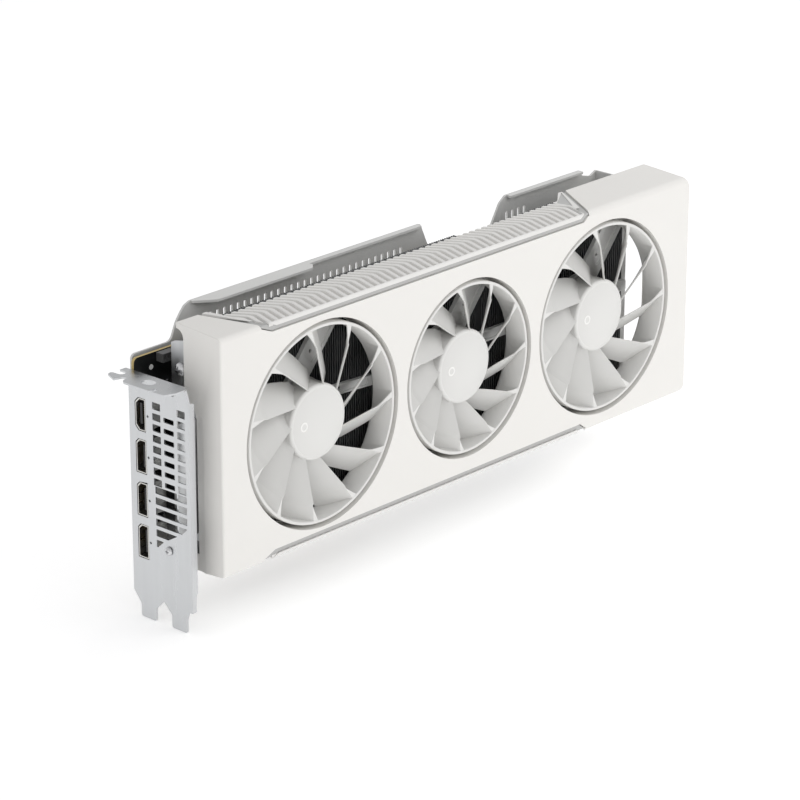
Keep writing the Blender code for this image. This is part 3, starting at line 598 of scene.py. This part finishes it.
def ribs(sign):
    """The rows of ribs on a trim, as one object."""
    half = RIB_WIDTH / 2
    foot = -RIB_SINK - 0.4
    profile = [(-half, foot), (-half, -RIB_SINK * 0.6), (-half * 0.84, -0.25), (-half * 0.5, -0.08),
               (half * 0.5, -0.08), (half * 0.84, -0.25), (half, -RIB_SINK * 0.6), (half, foot)]
    bm = bmesh.new()
    for number in range(RIBS):
        skin(bm, [[layout(x + u, y, wall_level(sign) + sign * (SLOPE * (y - FRONT) + v))
                   for u, v in profile] for x, y in rib_path(26.0 + RIB_PITCH * number)])
    bmesh.ops.recalc_face_normals(bm, faces=bm.faces)
    return link("ribs", to_mesh("ribs", bm))


def trim(name, sign):
    """A trim: rows of swept ribs in a frame, inside a darker channel that follows its outline, and
    a patch of painted shade in its rear corner.
    """
    frame_piece = keep_inside(trim_form(0.0), trim_prism(sign, GUTTER))
    frame_piece = cut(frame_piece, ribbed_field(sign, TRIM_REAR + 0.4, RIB_SINK), hollow(),
                      slab("corner", TRIM_CORNER, sign))
    rows = keep_inside(ribs(sign), ribbed_field(sign, TRIM_REAR, 0.0, 0.05))
    frame_piece = smooth(join(frame_piece, rows), 40.0)
    frame_piece.name = f"{name}_ribbed"
    dress(frame_piece, TRIM_GREY, "grey_plastic", name)
    channel = keep_inside(trim_form(GUTTER_DEPTH), trim_prism(sign))
    channel = cut(channel, trim_prism(sign, GUTTER, False), hollow())
    channel.name = f"{name}_channel"
    dress(smooth(channel, 40.0), CHANNEL_GREY_AND_PAINTED_SHADE, "grey_plastic")
    # The rear corner's patch is painted shade: channel grey just under the surface stands in for
    # the shade that falls in that corner.
    painted_shade_patch = keep_inside(trim_form(0.35), slab("corner", TRIM_CORNER, sign),
                        trim_prism(sign, GUTTER))
    painted_shade_patch = cut(painted_shade_patch, hollow())
    painted_shade_patch.name = f"{name}_inlay"
    dress(smooth(painted_shade_patch, 40.0), CHANNEL_GREY_AND_PAINTED_SHADE, "grey_plastic")


def shroud():
    """The white cover: hollow, with a collar round each fan and room for the trims and hand."""
    obj = cut(shroud_form("shroud"), hollow())
    collars, holes = [], []
    for x, ring in zip(FAN_X, RING_RADIUS):
        radius = ring + RING_CLEARANCE
        collars.append(cylinder("collar", (x, 0, FAN_Z), radius + COLLAR_WALL, FRONT + 1.0,
                                COLLAR_BACK, segments=128))
        holes.append(cylinder("hole", (x, 0, FAN_Z), radius, FRONT - 5.0, COLLAR_BACK + 5.0,
                              segments=128))
    obj = cut(join(obj, *collars), *holes)
    for sign in (1, -1):
        obj = cut(obj, trim_prism(sign, -GAP), slab("rear_opening", REAR_OPENING, sign, 4.0, 8.0))
    obj = cut(obj, boxes("relief_upper", ((5, -24.5, 100.0), (14, -10, 137.0))),
              cylinder("relief_arch", (0, -20.0, 137.0), 4.5, 5.0, 14.0, "X"),
              boxes("relief_lower", ((5, -30.5, 34.0), (14, -10, 107.0))), hand_dent())
    finish(obj, 0.35, angle=38.0)
    obj.name = "shroud_shell"
    dress(obj, WHITE, "white_plastic", "fan_shroud")


def hand_dent():
    """A tall rounded dish that draws the left wall's rear edge inwards."""
    radius, depth = 13.0, 1.45
    x, y = LEFT - radius + depth, -30.0
    low, high = 24.0, 99.0
    rows = []
    for i in range(13):
        angle = math.radians(7.5 * i)
        rows.append((high + radius * math.sin(angle), radius * math.cos(angle)))
    rows.insert(0, (low, radius))
    rings = [[layout(x + max(r, 0.02) * math.cos(t), y + max(r, 0.02) * math.sin(t), z)
              for t in (2 * math.pi * k / 48 for k in range(48))] for z, r in rows]
    return loft("dent", rings)


# ---------------- fans

def blade_edge(share):
    """A blade's leading edge: its angle in degrees and its Y, at a share of the way to the ring."""
    radius, notch = HUB_RADIUS + 28.5 * share, 39.4
    if radius <= notch:
        angle = 20.5 + math.degrees(math.acos(9.8 / radius))
        return angle, -44.5 - 3.2 * (radius - HUB_RADIUS) / 20.9
    return 96.1 + 0.28 * (radius - notch), -47.0 - 0.04 * (radius - notch)


def blade_rows(number, ring_inner):
    """One blade as sections from the hub to the ring; each section runs round its chord."""
    inner, outer = HUB_RADIUS - 0.7, ring_inner + 0.6
    rows = []
    shares = {i / BLADE_SECTIONS for i in range(BLADE_SECTIONS + 1)} | {0.732, 0.742}
    for share in sorted(shares):
        radius = inner + (outer - inner) * share
        lead, front = blade_edge((radius - HUB_RADIUS) / (ring_inner - HUB_RADIUS))
        wrap = min(33.0, math.degrees(BLADE_CHORD / radius))
        web = 0.4 + 3.5 * max(0.0, (share - 0.74) / 0.26)
        face, rear = [], []
        for j in range(BLADE_CHORDS + 1):
            chord = j / BLADE_CHORDS
            angle = lead - wrap * chord
            y = front + (BLADE_REAR - front) * chord ** 0.85
            face.append((angle, y))
            rear.append((angle, y + BLADE_THICKNESS * (1.0 - 0.45 * chord)))
        nose = [(lead + web, front + 0.15), (lead + web, front + 0.7)]
        ring = [nose[0], *face, *rear[::-1], nose[1]]
        turn = number * 360.0 / BLADES
        rows.append([(radius * math.cos(math.radians(a - turn)), y,
                      radius * math.sin(math.radians(a - turn))) for a, y in ring])
    return rows


def fan_rotor(index):
    """Hub cup, blades and ring of one fan, as one moulding."""
    number, x, ring_outer = FANS[index], FAN_X[index], RING_RADIUS[index]
    ring_inner = ring_outer - RING_WALL
    hub = [(0.0, HUB_FRONT), (16.3, HUB_FRONT), (16.5, HUB_FRONT + 0.12), (16.8, HUB_FRONT + 0.12),
           (17.0, HUB_FRONT)]
    hub += [(17.1 + 1.4 * math.sin(a), HUB_FRONT + 1.4 * (1 - math.cos(a)))
            for a in (math.radians(15 * i) for i in range(1, 7))]
    hub += [(18.5, HUB_BACK), (17.0, HUB_BACK), (17.0, HUB_FRONT + 1.6), (1.5, HUB_FRONT + 1.6),
            (1.5, HUB_BACK - 1.0), (0.0, HUB_BACK - 1.0)]
    rotor = turned("rotor", (x, FAN_Z), hub, 96)
    lip = 0.45
    ring = [(ring_outer, RING_FRONT + lip), (ring_outer - lip * 0.4, RING_FRONT + lip * 0.2),
            (ring_outer - lip, RING_FRONT), (ring_inner + lip, RING_FRONT),
            (ring_inner + lip * 0.4, RING_FRONT + lip * 0.2), (ring_inner, RING_FRONT + lip),
            (ring_inner, RING_BACK), (ring_outer, RING_BACK)]
    hoop = turned("hoop", (x, FAN_Z), ring, 150)
    blades = []
    for blade in range(BLADES):
        rows = [[layout(x + u, v, FAN_Z + w) for u, v, w in row]
                for row in blade_rows(blade, ring_inner)]
        blades.append(loft("blade", rows))
    rotor = smooth(join(rotor, hoop, *blades), 32.0)
    rotor.name = f"fan_{number}_wheel"
    dress(rotor, FAN_WHITE, "fan_plastic", f"fan_{number}_rotor", body=f"fan_{number}")
    hub_mark(number, x)


def hub_mark(number, x):
    """A plain raised ring near the hub's rim, as a generic mark."""
    low, high = HUB_FRONT - 0.12, HUB_FRONT + 0.05
    profile = [(1.5, high), (1.5, low), (2.3, low), (2.3, high)]
    mark = smooth(turned(f"fan_{number}_mark", (x - 9.3, FAN_Z), profile, 40), 40.0)
    dress(mark, MARK, "fan_plastic", body=f"fan_{number}")


def about(x, angle):
    """A turn about the axis of the fan at X, by an angle in degrees seen from the front."""
    centre = layout(x, 0, FAN_Z)
    turn = Matrix.Rotation(math.radians(-angle), 4, "Y")
    return Matrix.Translation(centre) @ turn @ Matrix.Translation(-centre)


def fan_mount(index):
    """The spider behind a fan: a motor seat on two channelled bars that reach past the collar."""
    number, x, floor = FANS[index], FAN_X[index], MOUNT_FRONT + 1.2
    reach = RING_RADIUS[index] + RING_CLEARANCE + COLLAR_WALL
    seat = cylinder("seat", (x, 0, FAN_Z), 19.0, MOUNT_FRONT, MOUNT_BACK, segments=96)
    bars, cuts = [], []
    for angle, offset, width, rail, stop in FAN_ARMS[index]:
        far = math.sqrt(reach ** 2 - offset ** 2)
        low, high = FAN_Z + offset - width / 2, FAN_Z + offset + width / 2
        outline = rounded((x - far, low), (x + min(far, stop), high), 1.0)
        bars.append(plate("bar", outline, MOUNT_FRONT, MOUNT_BACK, "Y"))
        bars[-1].matrix_world = about(x, angle)
        for side in (-1, 1):
            start, end = sorted((side * 24.0, side * (far - 4.5)))
            if end > stop:
                continue
            channel = rounded((x + start, low + rail), (x + end, high - rail),
                              min(2.0, width * 0.2))
            cuts.append(plate("channel", channel, MOUNT_FRONT - 1.0, floor, "Y"))
            cuts.append(cylinder("hole", (x + side * 28.5, 0, FAN_Z + offset), 0.9, floor - 1.0,
                                 MOUNT_BACK + 1.0, segments=24))
            for piece in cuts[-2:]:
                piece.matrix_world = about(x, angle)
    mount = cut(join(seat, *bars), *cuts)
    finish(mount, 0.2)
    mount.name = f"fan_{number}_spider"
    dress(mount, MOUNT_GREY, "grey_plastic", f"fan_{number}_mount")


def fan_stator(index):
    """The fixed half of the motor: a bearing tube with nine wound poles round it."""
    number, x = FANS[index], FAN_X[index]
    tube = turned("tube", (x, FAN_Z), [(4.0, -41.6), (4.0, -40.4), (5.5, -40.4), (5.5, -31.5),
                                       (1.9, -31.5), (1.9, -41.6)], 48)
    poles = []
    for pole in range(9):
        coil = boxes("coil", ((x + 4.6, -39.9, FAN_Z - 2.6), (x + 13.2, -34.1, FAN_Z + 2.6)),
                     ((x + 12.9, -38.9, FAN_Z - 4.6), (x + 14.9, -35.1, FAN_Z + 4.6)))
        coil.matrix_world = about(x, 40.0 * pole)
        poles.append(coil)
    stator = finish(join(tube, *poles), 0.3)
    stator.name = f"fan_{number}_motor"
    dress(stator, WINDING, "winding_steel", f"fan_{number}_stator")


# ---------------- cooler

def fin_stack(node, raised_from):
    """Separate pressed fins, each with a folded lip at its front edge."""
    low, high = size(node)
    spans = []
    count = int((high.x - low.x - FIN_SHEET) / FIN_PITCH)
    for i in range(count + 1):
        x = low.x + i * FIN_PITCH
        top = high.z if x >= raised_from else FIN_STEP
        spans.append(((x, low.y, low.z), (x + FIN_SHEET, high.y, top)))
        lip = min(x + FIN_SHEET + 0.35, high.x)
        spans.append(((x, low.y, low.z), (lip, low.y + 0.3, top)))
    spans.append(((low.x, high.y - 0.8, low.z + 6.0), (high.x, high.y - 0.3, FIN_STEP - 6.0)))
    dress(boxes(f"{node}_pressed", *spans), FINS, "dark_fins", node)


def fin_end_plate():
    """The plate that ends the fins, its front edge folded into a narrow flange."""
    node = "fin_end_plate"
    low, high = size(node)
    flange = ((low.x - 0.9, low.y - 0.35, low.z), (high.x + 1.1, low.y + 0.05, high.z))
    folded = finish(boxes(f"{node}_finished", (low, high), flange), 0.1, 1, 30.0)
    dress(folded, MOUNT_GREY, "grey_plastic", node)


def heat_pipe(number):
    """A pipe that lies beside the others on the cold plate and spreads out to both ends."""
    node = f"heat_pipe_{number + 1}"
    low, high = size(node)
    radius, steps = (high.y - low.y) / 2, 60
    start, end = low.x + radius, high.x - radius
    middle = sum(size("cold_plate"), Vector()) / 2
    rows = []
    for i in range(-4, steps + 5):
        along = min(max(i, 0), steps)
        cap = abs(i - along) / 4
        x = start + (end - start) * along / steps
        x += math.copysign(radius * math.sin(cap * math.pi / 2), i)
        z = middle.z + (number - 1.5) * (8.0 + 9.0 * ease(abs(x - middle.x), 36.0, 81.0))
        r = radius * max(0.01, math.cos(cap * math.pi / 2))
        rows.append([layout(x, (low.y + high.y) / 2 + r * math.cos(t), z + r * math.sin(t))
                     for t in (2 * math.pi * k / 20 for k in range(20))])
    dress(smooth(loft(f"{node}_tube", rows), 50.0), PIPE, "nickel_pipe", node)


# ---------------- carried-over shapes, rounded

def rounded_copy(node, material, slot, width, segments=2):
    """A CAD node with its edges rounded by a width in mm."""
    obj = finish(copy_of(node, f"{node}_finished"), width, segments, 30.0)
    dress(obj, material, slot, node)


# ---------------- circuit board

def circuit_board():
    """The board: black lacquer on both faces and bare laminate on its cut edges."""
    obj = copy_of("circuit_board", "circuit_board_lacquered")
    dress(obj, MASK, "board", "circuit_board")
    obj.data.materials.append(LAMINATE)
    for face in obj.data.polygons:
        face.material_index = 0 if abs(face.normal.y) > 0.5 else 1


def contacts():
    """The gilded fingers of the card edge, on both faces."""
    low, high = size("circuit_board")
    spans = []
    for start, end in ((51.5, 62.2), (65.0, 135.8)):
        for i in range(int(end - start)):
            x = start + i
            for y in (low.y - 0.04, high.y):
                spans.append(((x, y, low.z + 1.3), (x + 0.7, y + 0.04, low.z + 6.6)))
    dress(boxes("edge_contacts", *spans), GOLD, "board")


def header_pins():
    """The four pins in the fan header's sockets, and a white test dot beside it."""
    low, high = size("fan_header")
    middle = (low.z + high.z) / 2
    spans = [((low.x + 1.25 + 2.0 * i, low.y + 0.6, middle - 0.3),
              (low.x + 1.75 + 2.0 * i, high.y, middle + 0.3)) for i in range(4)]
    dress(boxes("fan_header_pins", *spans), SCREW_METAL, "nickel_steel")
    front = size("circuit_board")[0].y
    dot = cylinder("board_dot", (12.0, 0, 118.4), 1.3, front - 0.12, front, segments=32)
    dress(smooth(soften(dot, 0.05, 1), 40.0), MARK, "grey_plastic")


def small_parts():
    """Rows of chip capacitors on the board's front, near its left end and round the cooler."""
    front = size("circuit_board")[0].y
    spans, ends = [], []
    rows = ((16.5, 30.0, 6, 0.0, 3.1), (17.0, 108.0, 3, 3.4, 0.0), (182.0, 40.0, 14, 0.0, 5.0),
            (188.5, 44.0, 12, 0.0, 5.6), (142.0, 38.0, 9, 0.0, 6.5), (66.0, 112.0, 7, 4.0, 0.0))
    for start_x, start_z, count, step_x, step_z in rows:
        for i in range(count):
            x, z = start_x + i * step_x, start_z + i * step_z
            spans.append(((x, front - 1.0, z), (x + 1.2, front, z + 2.0)))
            for a, b in ((z - 0.35, z), (z + 2.0, z + 2.35)):
                ends.append(((x, front - 1.02, a), (x + 1.2, front, b)))
    dress(soften(boxes("chip_capacitors", *spans), 0.12, 1), FERRITE, "ferrite")
    dress(soften(boxes("capacitor_ends", *ends), 0.06, 1), SCREW_METAL, "nickel_steel")


# ---------------- bracket and ports

def port_outline(node, clipped, inset=0.0):
    """A port's mouth (Y, Z); clipped gives how much its lower and upper front corners lose."""
    low, high = size(f"{node}_shell")
    a, b, c, d = PORT_Y[0] + inset, PORT_Y[1] - inset, low.z + inset, high.z - inset
    lower, upper = clipped
    return [(a, c), (b - lower, c), (b, c + lower), (b, d - upper), (b - upper, d), (a, d)]


def bracket_windows():
    """The port windows, vent grille and small holes, as (Y, Z) outlines."""
    holes = [eased(port_outline(node, clipped, -GAP), 0.5) for node, clipped in PORTS.items()]
    for node in PORTS:
        holes.append(arc((-12.1, size(f"{node}_shell")[1].z - 7.6), 0.8, 0, 270, 3))
    for row in range(8):
        drop = VENT_PITCH * row
        holes.append(eased(rectangle(-20.4, -15.2, 104.6 - drop, 108.1 - drop), 0.35))
        holes.append(eased(rectangle(-36.2, -31.0, 104.8 - drop, 108.3 - drop), 0.35))
    for row in range(7):
        drop = VENT_PITCH * row
        holes.append(eased(rectangle(-29.0, -22.4, 100.0 - drop, 102.4 - drop), 0.5))
    for row in range(6):
        low, high = 63.9 - 5.24 * row, 67.4 - 5.24 * row
        clip_low, clip_high = (min(36.3, max(17.0, 14.8 + (z - 37.7) / 0.585)) for z in (low, high))
        slot = [(-16.0, low), (-16.0, high), (-clip_high, high), (-clip_low, low)]
        holes.append(eased(slot, 0.35))
    holes.append(arc((-28.3, 115.4), 1.6, 0, 345, 23))
    holes.append(arc((-24.3, 37.9), 1.8, 0, 345, 23))
    return holes


def bracket_face():
    """The bracket face's outline (Y, Z) with its two tongues."""
    root, width = 11.4, -size("io_bracket")[0].y
    outline = [(0.0, 120.02), (0.0, root + 0.6)]
    for back, after in ((-4.7, [(-19.6, root)]), (-24.9, [(-36.4, root - 0.6)])):
        front = back - 10.0
        outline += [(back, root - 5.0), (back, 0.8), (back - 0.8, 0.0), (front + 0.8, 0.0),
                    (front, 0.8), (front, root - 5.0), *after]
    return outline + [(-width, root - 0.6), (-width, 113.4), (-width + 1.7, 118.6),
                      (-width + 1.7, 120.02)]


def bracket_tab():
    """The fixing tab seen from above, with its screw notch and relief notches."""
    notch = arc((-5.2, -1.2), 2.1, 360, 180, 12)
    return ([(SHEET, 2.3), (-3.1, 2.3)] + notch + [(-7.3, 1.8), (-8.3, 3.0), (-10.4, 2.2),
            (-13.2, -4.5), (-9.2, -5.6), (-7.9, -7.8), (-12.0, -9.3), (-13.2, -11.0),
            (-13.4, -27.4), (-11.4, -27.6), (-9.2, -27.2), (-9.2, -29.2), (-13.4, -29.8),
            (-12.8, -36.4), (-7.3, -38.6), (-1.8, -38.4), (SHEET, -37.2)])


def bracket():
    """The slot bracket, bent from one sheet: face, fixing tab and stiffening flange."""
    low, high = size("io_bracket")
    obj = plate("bracket_sheet", eased(bracket_face(), 0.6), 0.0, SHEET, "X", bracket_windows())
    hole = arc((-5.7, -18.6), 2.8, 0, 180, 12) + arc((-5.7, -20.3), 2.8, 180, 360, 12)
    tab = plate("tab", eased(bracket_tab(), 0.5), high.z - SHEET, high.z - 0.01, "Z", [hole])
    flange = [(0.1, 10.9), (2.6, 10.9), (2.6, 19.0), (3.6, 20.0), (3.6, 112.0), (0.1, 113.2)]
    side = plate("flange", eased(flange, 0.5), low.y + 0.01, low.y + SHEET, "Y")
    obj = finish(join(obj, tab, side, solver="MANIFOLD"), 0.12, 1, 40.0)
    dress(obj, BRACKET_METAL, "nickel_steel", "io_bracket")


def backplate_outline():
    """The backplate's stepped outline (X, Z), from its lower left corner."""
    low, high = size("backplate")
    left, right, bottom, top = low.x, high.x, low.z, high.z
    return [(left, bottom), (right, bottom), (right, top - 2.7), (331.7, top - 2.7),
            (330.9, top - 3.2), (327.5, top - 4.8), (320.5, top - 3.0), (319.7, top),
            (260.8, top), (256.5, top - 3.2), (250.6, 129.0), (248.0, 126.6), (206.0, 126.6),
            (203.5, 129.0), (197.6, top),
            (41.0, top), (37.5, top - 1.4), (34.9, top - 4.2), (31.9, top - 8.2), (28.8, 126.8),
            (26.8, 125.7), (left + 1.5, 125.7), (left, 124.2)]


def backplate():
    """The painted rear sheet with its vents, air outlet, screw holes and bent lips."""
    low, high = size("backplate")
    front, top = high.y - 1.2, high.z
    holes = [eased(rectangle(x - 0.85, x + 0.85, 112.0, 133.4), 0.8)
             for x in (start + 4.466 * i for start, count in ((54.0, 30), (262.0, 4))
                       for i in range(count))]
    holes += [eased(rectangle(x, x + 3.4, 40.0, 104.0), 1.4)
              for x in (256.0 + 5.9 * i for i in range(12))]
    holes += [arc(place, 4.2, 0, 352.5, 47) for place in screw_places("cooler")]
    holes += [arc(place, 1.7, 0, 345, 23) for place in screw_places("backplate")]
    obj = plate("backplate_sheet", eased(backplate_outline(), 1.0), front, high.y, "Y", holes)
    lips = ([(42.0, 2.2), (41.2, 0.4), (51.0, -6.9), (113.5, -6.9), (117.0, -3.6), (117.0, 2.2)],
            [(116.0, 2.2), (116.0, -1.4), (196.0, -1.4), (196.0, 2.2)],
            [(262.0, 2.2), (262.0, -1.4), (319.0, -1.4), (319.0, 2.2)])
    bent = [plate("lip", eased(lip, 0.8), top - 1.195, top - 0.005, "Z") for lip in lips]
    flange = rectangle(low.y, 2.1, low.z + 3.0, top - 2.8)
    bent.append(plate("end_flange", eased(flange, 1.0), high.x - 1.2, high.x - 0.01, "X"))
    obj = finish(join(obj, *bent, solver="MANIFOLD"), 0.25, 2, 40.0)
    dress(obj, PAINT, "white_sheet", "backplate")


def screw_places(kind):
    """Where the screws of one kind stand, as (X, Z)."""
    middles = [sum(size(f"{kind}_screw_{i}"), Vector()) / 2 for i in range(1, 5)]
    return [(middle.x, middle.z) for middle in middles]


def port(node):
    """A port's drawn shell with its clipped corners, and the tongue with its contacts inside."""
    low, high = size(f"{node}_shell")
    front, back, y_high, clipped = low.x, high.x, PORT_Y[1], PORTS[node]
    shell = plate("shell", eased(port_outline(node, clipped), 0.5), front, back, "X",
                  [eased(port_outline(node, clipped, PORT_WALL), 0.3)])
    foot = boxes("foot", ((2.0, y_high - 0.3, low.z + 2.5), (back - 1.0, high.y, high.z - 2.5)))
    shell = finish(join(shell, foot), 0.1, angle=40.0)
    shell.name = f"{node}_drawn_shell"
    dress(shell, PORT_METAL, "nickel_steel", f"{node}_shell")
    block = plate("block", port_outline(node, clipped, PORT_WALL + 0.1), back - 3.5, back - 0.6,
                  "X")
    middle = (PORT_Y[0] + y_high) / 2 + (0.6 if node == "hdmi" else -1.0)
    tongue = boxes("tongue", ((1.2, middle - 0.75, low.z + 2.6),
                              (back - 3.0, middle + 0.75, high.z - 2.6)))
    block = finish(join(block, tongue), 0.15, angle=40.0)
    block.name = f"{node}_moulding"
    dress(block, BLACK, "black_plastic", f"{node}_insulator")
    pins, count = [], 10
    pitch = (high.z - low.z - 7.0) / (count - 1)
    for i in range(count):
        z = low.z + 3.5 + pitch * i
        for y in (middle - 0.83, middle + 0.75):
            pins.append(((1.9, y, z - 0.22), (back - 3.0, y + 0.08, z + 0.22)))
    dress(boxes(f"{node}_contacts", *pins), GOLD, "nickel_steel")


def screw(node, axis, out):
    """A pan-head screw: domed head, cross recess and a threaded shank."""
    low, high = size(node)
    index = "XYZ".index(axis)
    others = [k for k in range(3) if k != index]
    centre = (low + high) / 2
    head_radius = (high[others[0]] - low[others[0]]) / 2
    head_end = high[index] if out > 0 else low[index]
    length = high[index] - low[index]
    head_depth = HEAD_DEPTH[node.split("_")[0]]
    shank = 1.3
    profile = [(0.0, 0.0)]
    profile += [(head_radius * math.sin(a), head_depth * (1 - math.cos(a)) * 0.9)
                for a in (math.radians(15 * i) for i in range(1, 7))]
    profile += [(head_radius, head_depth), (shank, head_depth)]
    depth = head_depth
    while depth + 0.5 < length:
        profile += [(shank - 0.18, depth + 0.25), (shank, depth + 0.5)]
        depth += 0.5
    profile += [(shank - 0.3, length), (0.0, length)]
    rows = []
    for step in range(40):
        angle = 2 * math.pi * step / 40
        ring = []
        for r, d in profile:
            point = Vector(centre)
            point[index] = head_end - out * d
            point[others[0]] += r * math.cos(angle)
            point[others[1]] += r * math.sin(angle)
            ring.append(layout(*point))
        rows.append(ring)
    body = loft(f"{node}_threaded", rows, closed_rows=True)
    arm, half = head_radius * 0.55, 0.32
    cross = []
    for reach in ((half, arm), (arm, half)):
        a, b = Vector(centre), Vector(centre)
        a[index], b[index] = head_end - out * head_depth * 0.62, head_end + out
        for k, r in zip(others, reach):
            a[k], b[k] = a[k] - r, b[k] + r
        span = [[pick(pair) for pair in zip(a, b)] for pick in (min, max)]
        cross.append(boxes("cross", span))
    body = cut(body, *cross)
    body.name = f"{node}_threaded"
    dress(smooth(body, 32.0), SCREW_METAL, "nickel_steel", node)


# ---------------- stage, light and camera

def stage():
    """A plain pale floor at the height of the bracket's tongue tips."""
    bm = bmesh.new()
    bmesh.ops.create_grid(bm, x_segments=8, y_segments=8, size=6.0)
    floor = link("floor", to_mesh("floor", bm))
    floor.location = layout(160.0, 0.0, -0.2)
    look = Look("floor_pale", (0.86, 0.86, 0.86), 0.9)
    look.shader.inputs["Emission Color"].default_value = (1.0, 1.0, 1.0, 1.0)
    look.shader.inputs["Emission Strength"].default_value = 0.42
    look.shader.inputs["Specular IOR Level"].default_value = 0.0
    floor.data.materials.append(look.varied(400.0, 0.004).material)


def world_light():
    """An even pale surround that is a little dimmer overhead."""
    world = bpy.data.worlds.new("studio")
    bpy.context.scene.world = world
    world.use_nodes = True
    nodes, links = world.node_tree.nodes, world.node_tree.links
    place = nodes.new("ShaderNodeTexCoord")
    split = nodes.new("ShaderNodeSeparateXYZ")
    ramp = nodes.new("ShaderNodeValToRGB")
    ramp.color_ramp.elements[0].color = (0.78, 0.78, 0.78, 1.0)
    ramp.color_ramp.elements[1].color = (0.55, 0.55, 0.555, 1.0)
    links.new(place.outputs["Generated"], split.inputs["Vector"])
    links.new(split.outputs["Z"], ramp.inputs["Fac"])
    links.new(ramp.outputs["Color"], nodes["Background"].inputs["Color"])


def softbox(name, place, target, width, height, power):
    """A rectangular light at a layout point, aimed at another; its sides are in metres."""
    light = bpy.data.lights.new(name, "AREA")
    light.shape = "RECTANGLE"
    light.size, light.size_y = width, height
    light.energy = power
    lamp = link(name, light)
    aim = (Vector(target) - Vector(place)).to_track_quat("-Z", "Y")
    lamp.matrix_world = Matrix.Translation(layout(*place)) @ aim.to_matrix().to_4x4()


def camera():
    """The camera at the photograph's angle."""
    back = Vector((math.sin(AZIMUTH) * math.cos(ELEVATION),
                   -math.cos(AZIMUTH) * math.cos(ELEVATION), math.sin(ELEVATION)))
    data = bpy.data.cameras.new("camera")
    data.sensor_width = 36.0
    data.lens = LENS
    data.clip_start, data.clip_end = 0.05, 50.0
    view = link("camera", data)
    place = AIM + back * DISTANCE
    view.matrix_world = (Matrix.Translation(layout(*place))
                         @ (-back).to_track_quat("-Z", "Y").to_matrix().to_4x4())
    bpy.context.scene.camera = view


# ---------------- assembly

camera()
shroud()
trim("top_trim", 1)
trim("bottom_trim", -1)
for index, fan in enumerate(FANS):
    fan_rotor(index)
    fan_mount(index)
    fan_stator(index)
    rounded_copy(f"fan_{fan}_lead", BLACK, "black_plastic", 0.05)
fin_stack("fin_stack_main", 33.0)
fin_stack("fin_stack_far", 254.0)
fin_end_plate()
for number in range(4):
    heat_pipe(number)
rounded_copy("cold_plate", COPPER, "copper", 0.4)
circuit_board()
contacts()
small_parts()
rounded_copy("gpu_substrate", EPOXY, "chip_package", 0.1)
rounded_copy("gpu_die", SILICON, "silicon", 0.05)
for number in range(6):
    rounded_copy(f"memory_chip_{number + 1}", EPOXY, "chip_package", 0.15)
for number in range(4):
    rounded_copy(f"power_choke_{number + 1}", FERRITE, "ferrite", 0.6, 3)
for number in range(2):
    rounded_copy(f"power_connector_{number + 1}", BLACK, "black_plastic", 0.2)
rounded_copy("fan_header", HEADER_GREY, "grey_plastic", 0.15)
header_pins()
backplate()
bracket()
rounded_copy("bracket_support", BRACKET_METAL, "nickel_steel", 0.2)
for node in PORTS:
    port(node)
screw("bracket_screw", "X", -1)
screw("support_screw", "X", -1)
for number in range(4):
    screw(f"cooler_screw_{number + 1}", "Y", 1)
    screw(f"backplate_screw_{number + 1}", "Y", 1)
stage()
world_light()
softbox("key_light", (650.0, -1300.0, 900.0), (180.0, -20.0, 80.0), 1.6, 1.2, 5.6)
softbox("end_light", (650.0, -60.0, 700.0), (300.0, -30.0, 140.0), 0.5, 0.5, 0.9)
bpy.context.scene.view_settings.view_transform = "Standard"
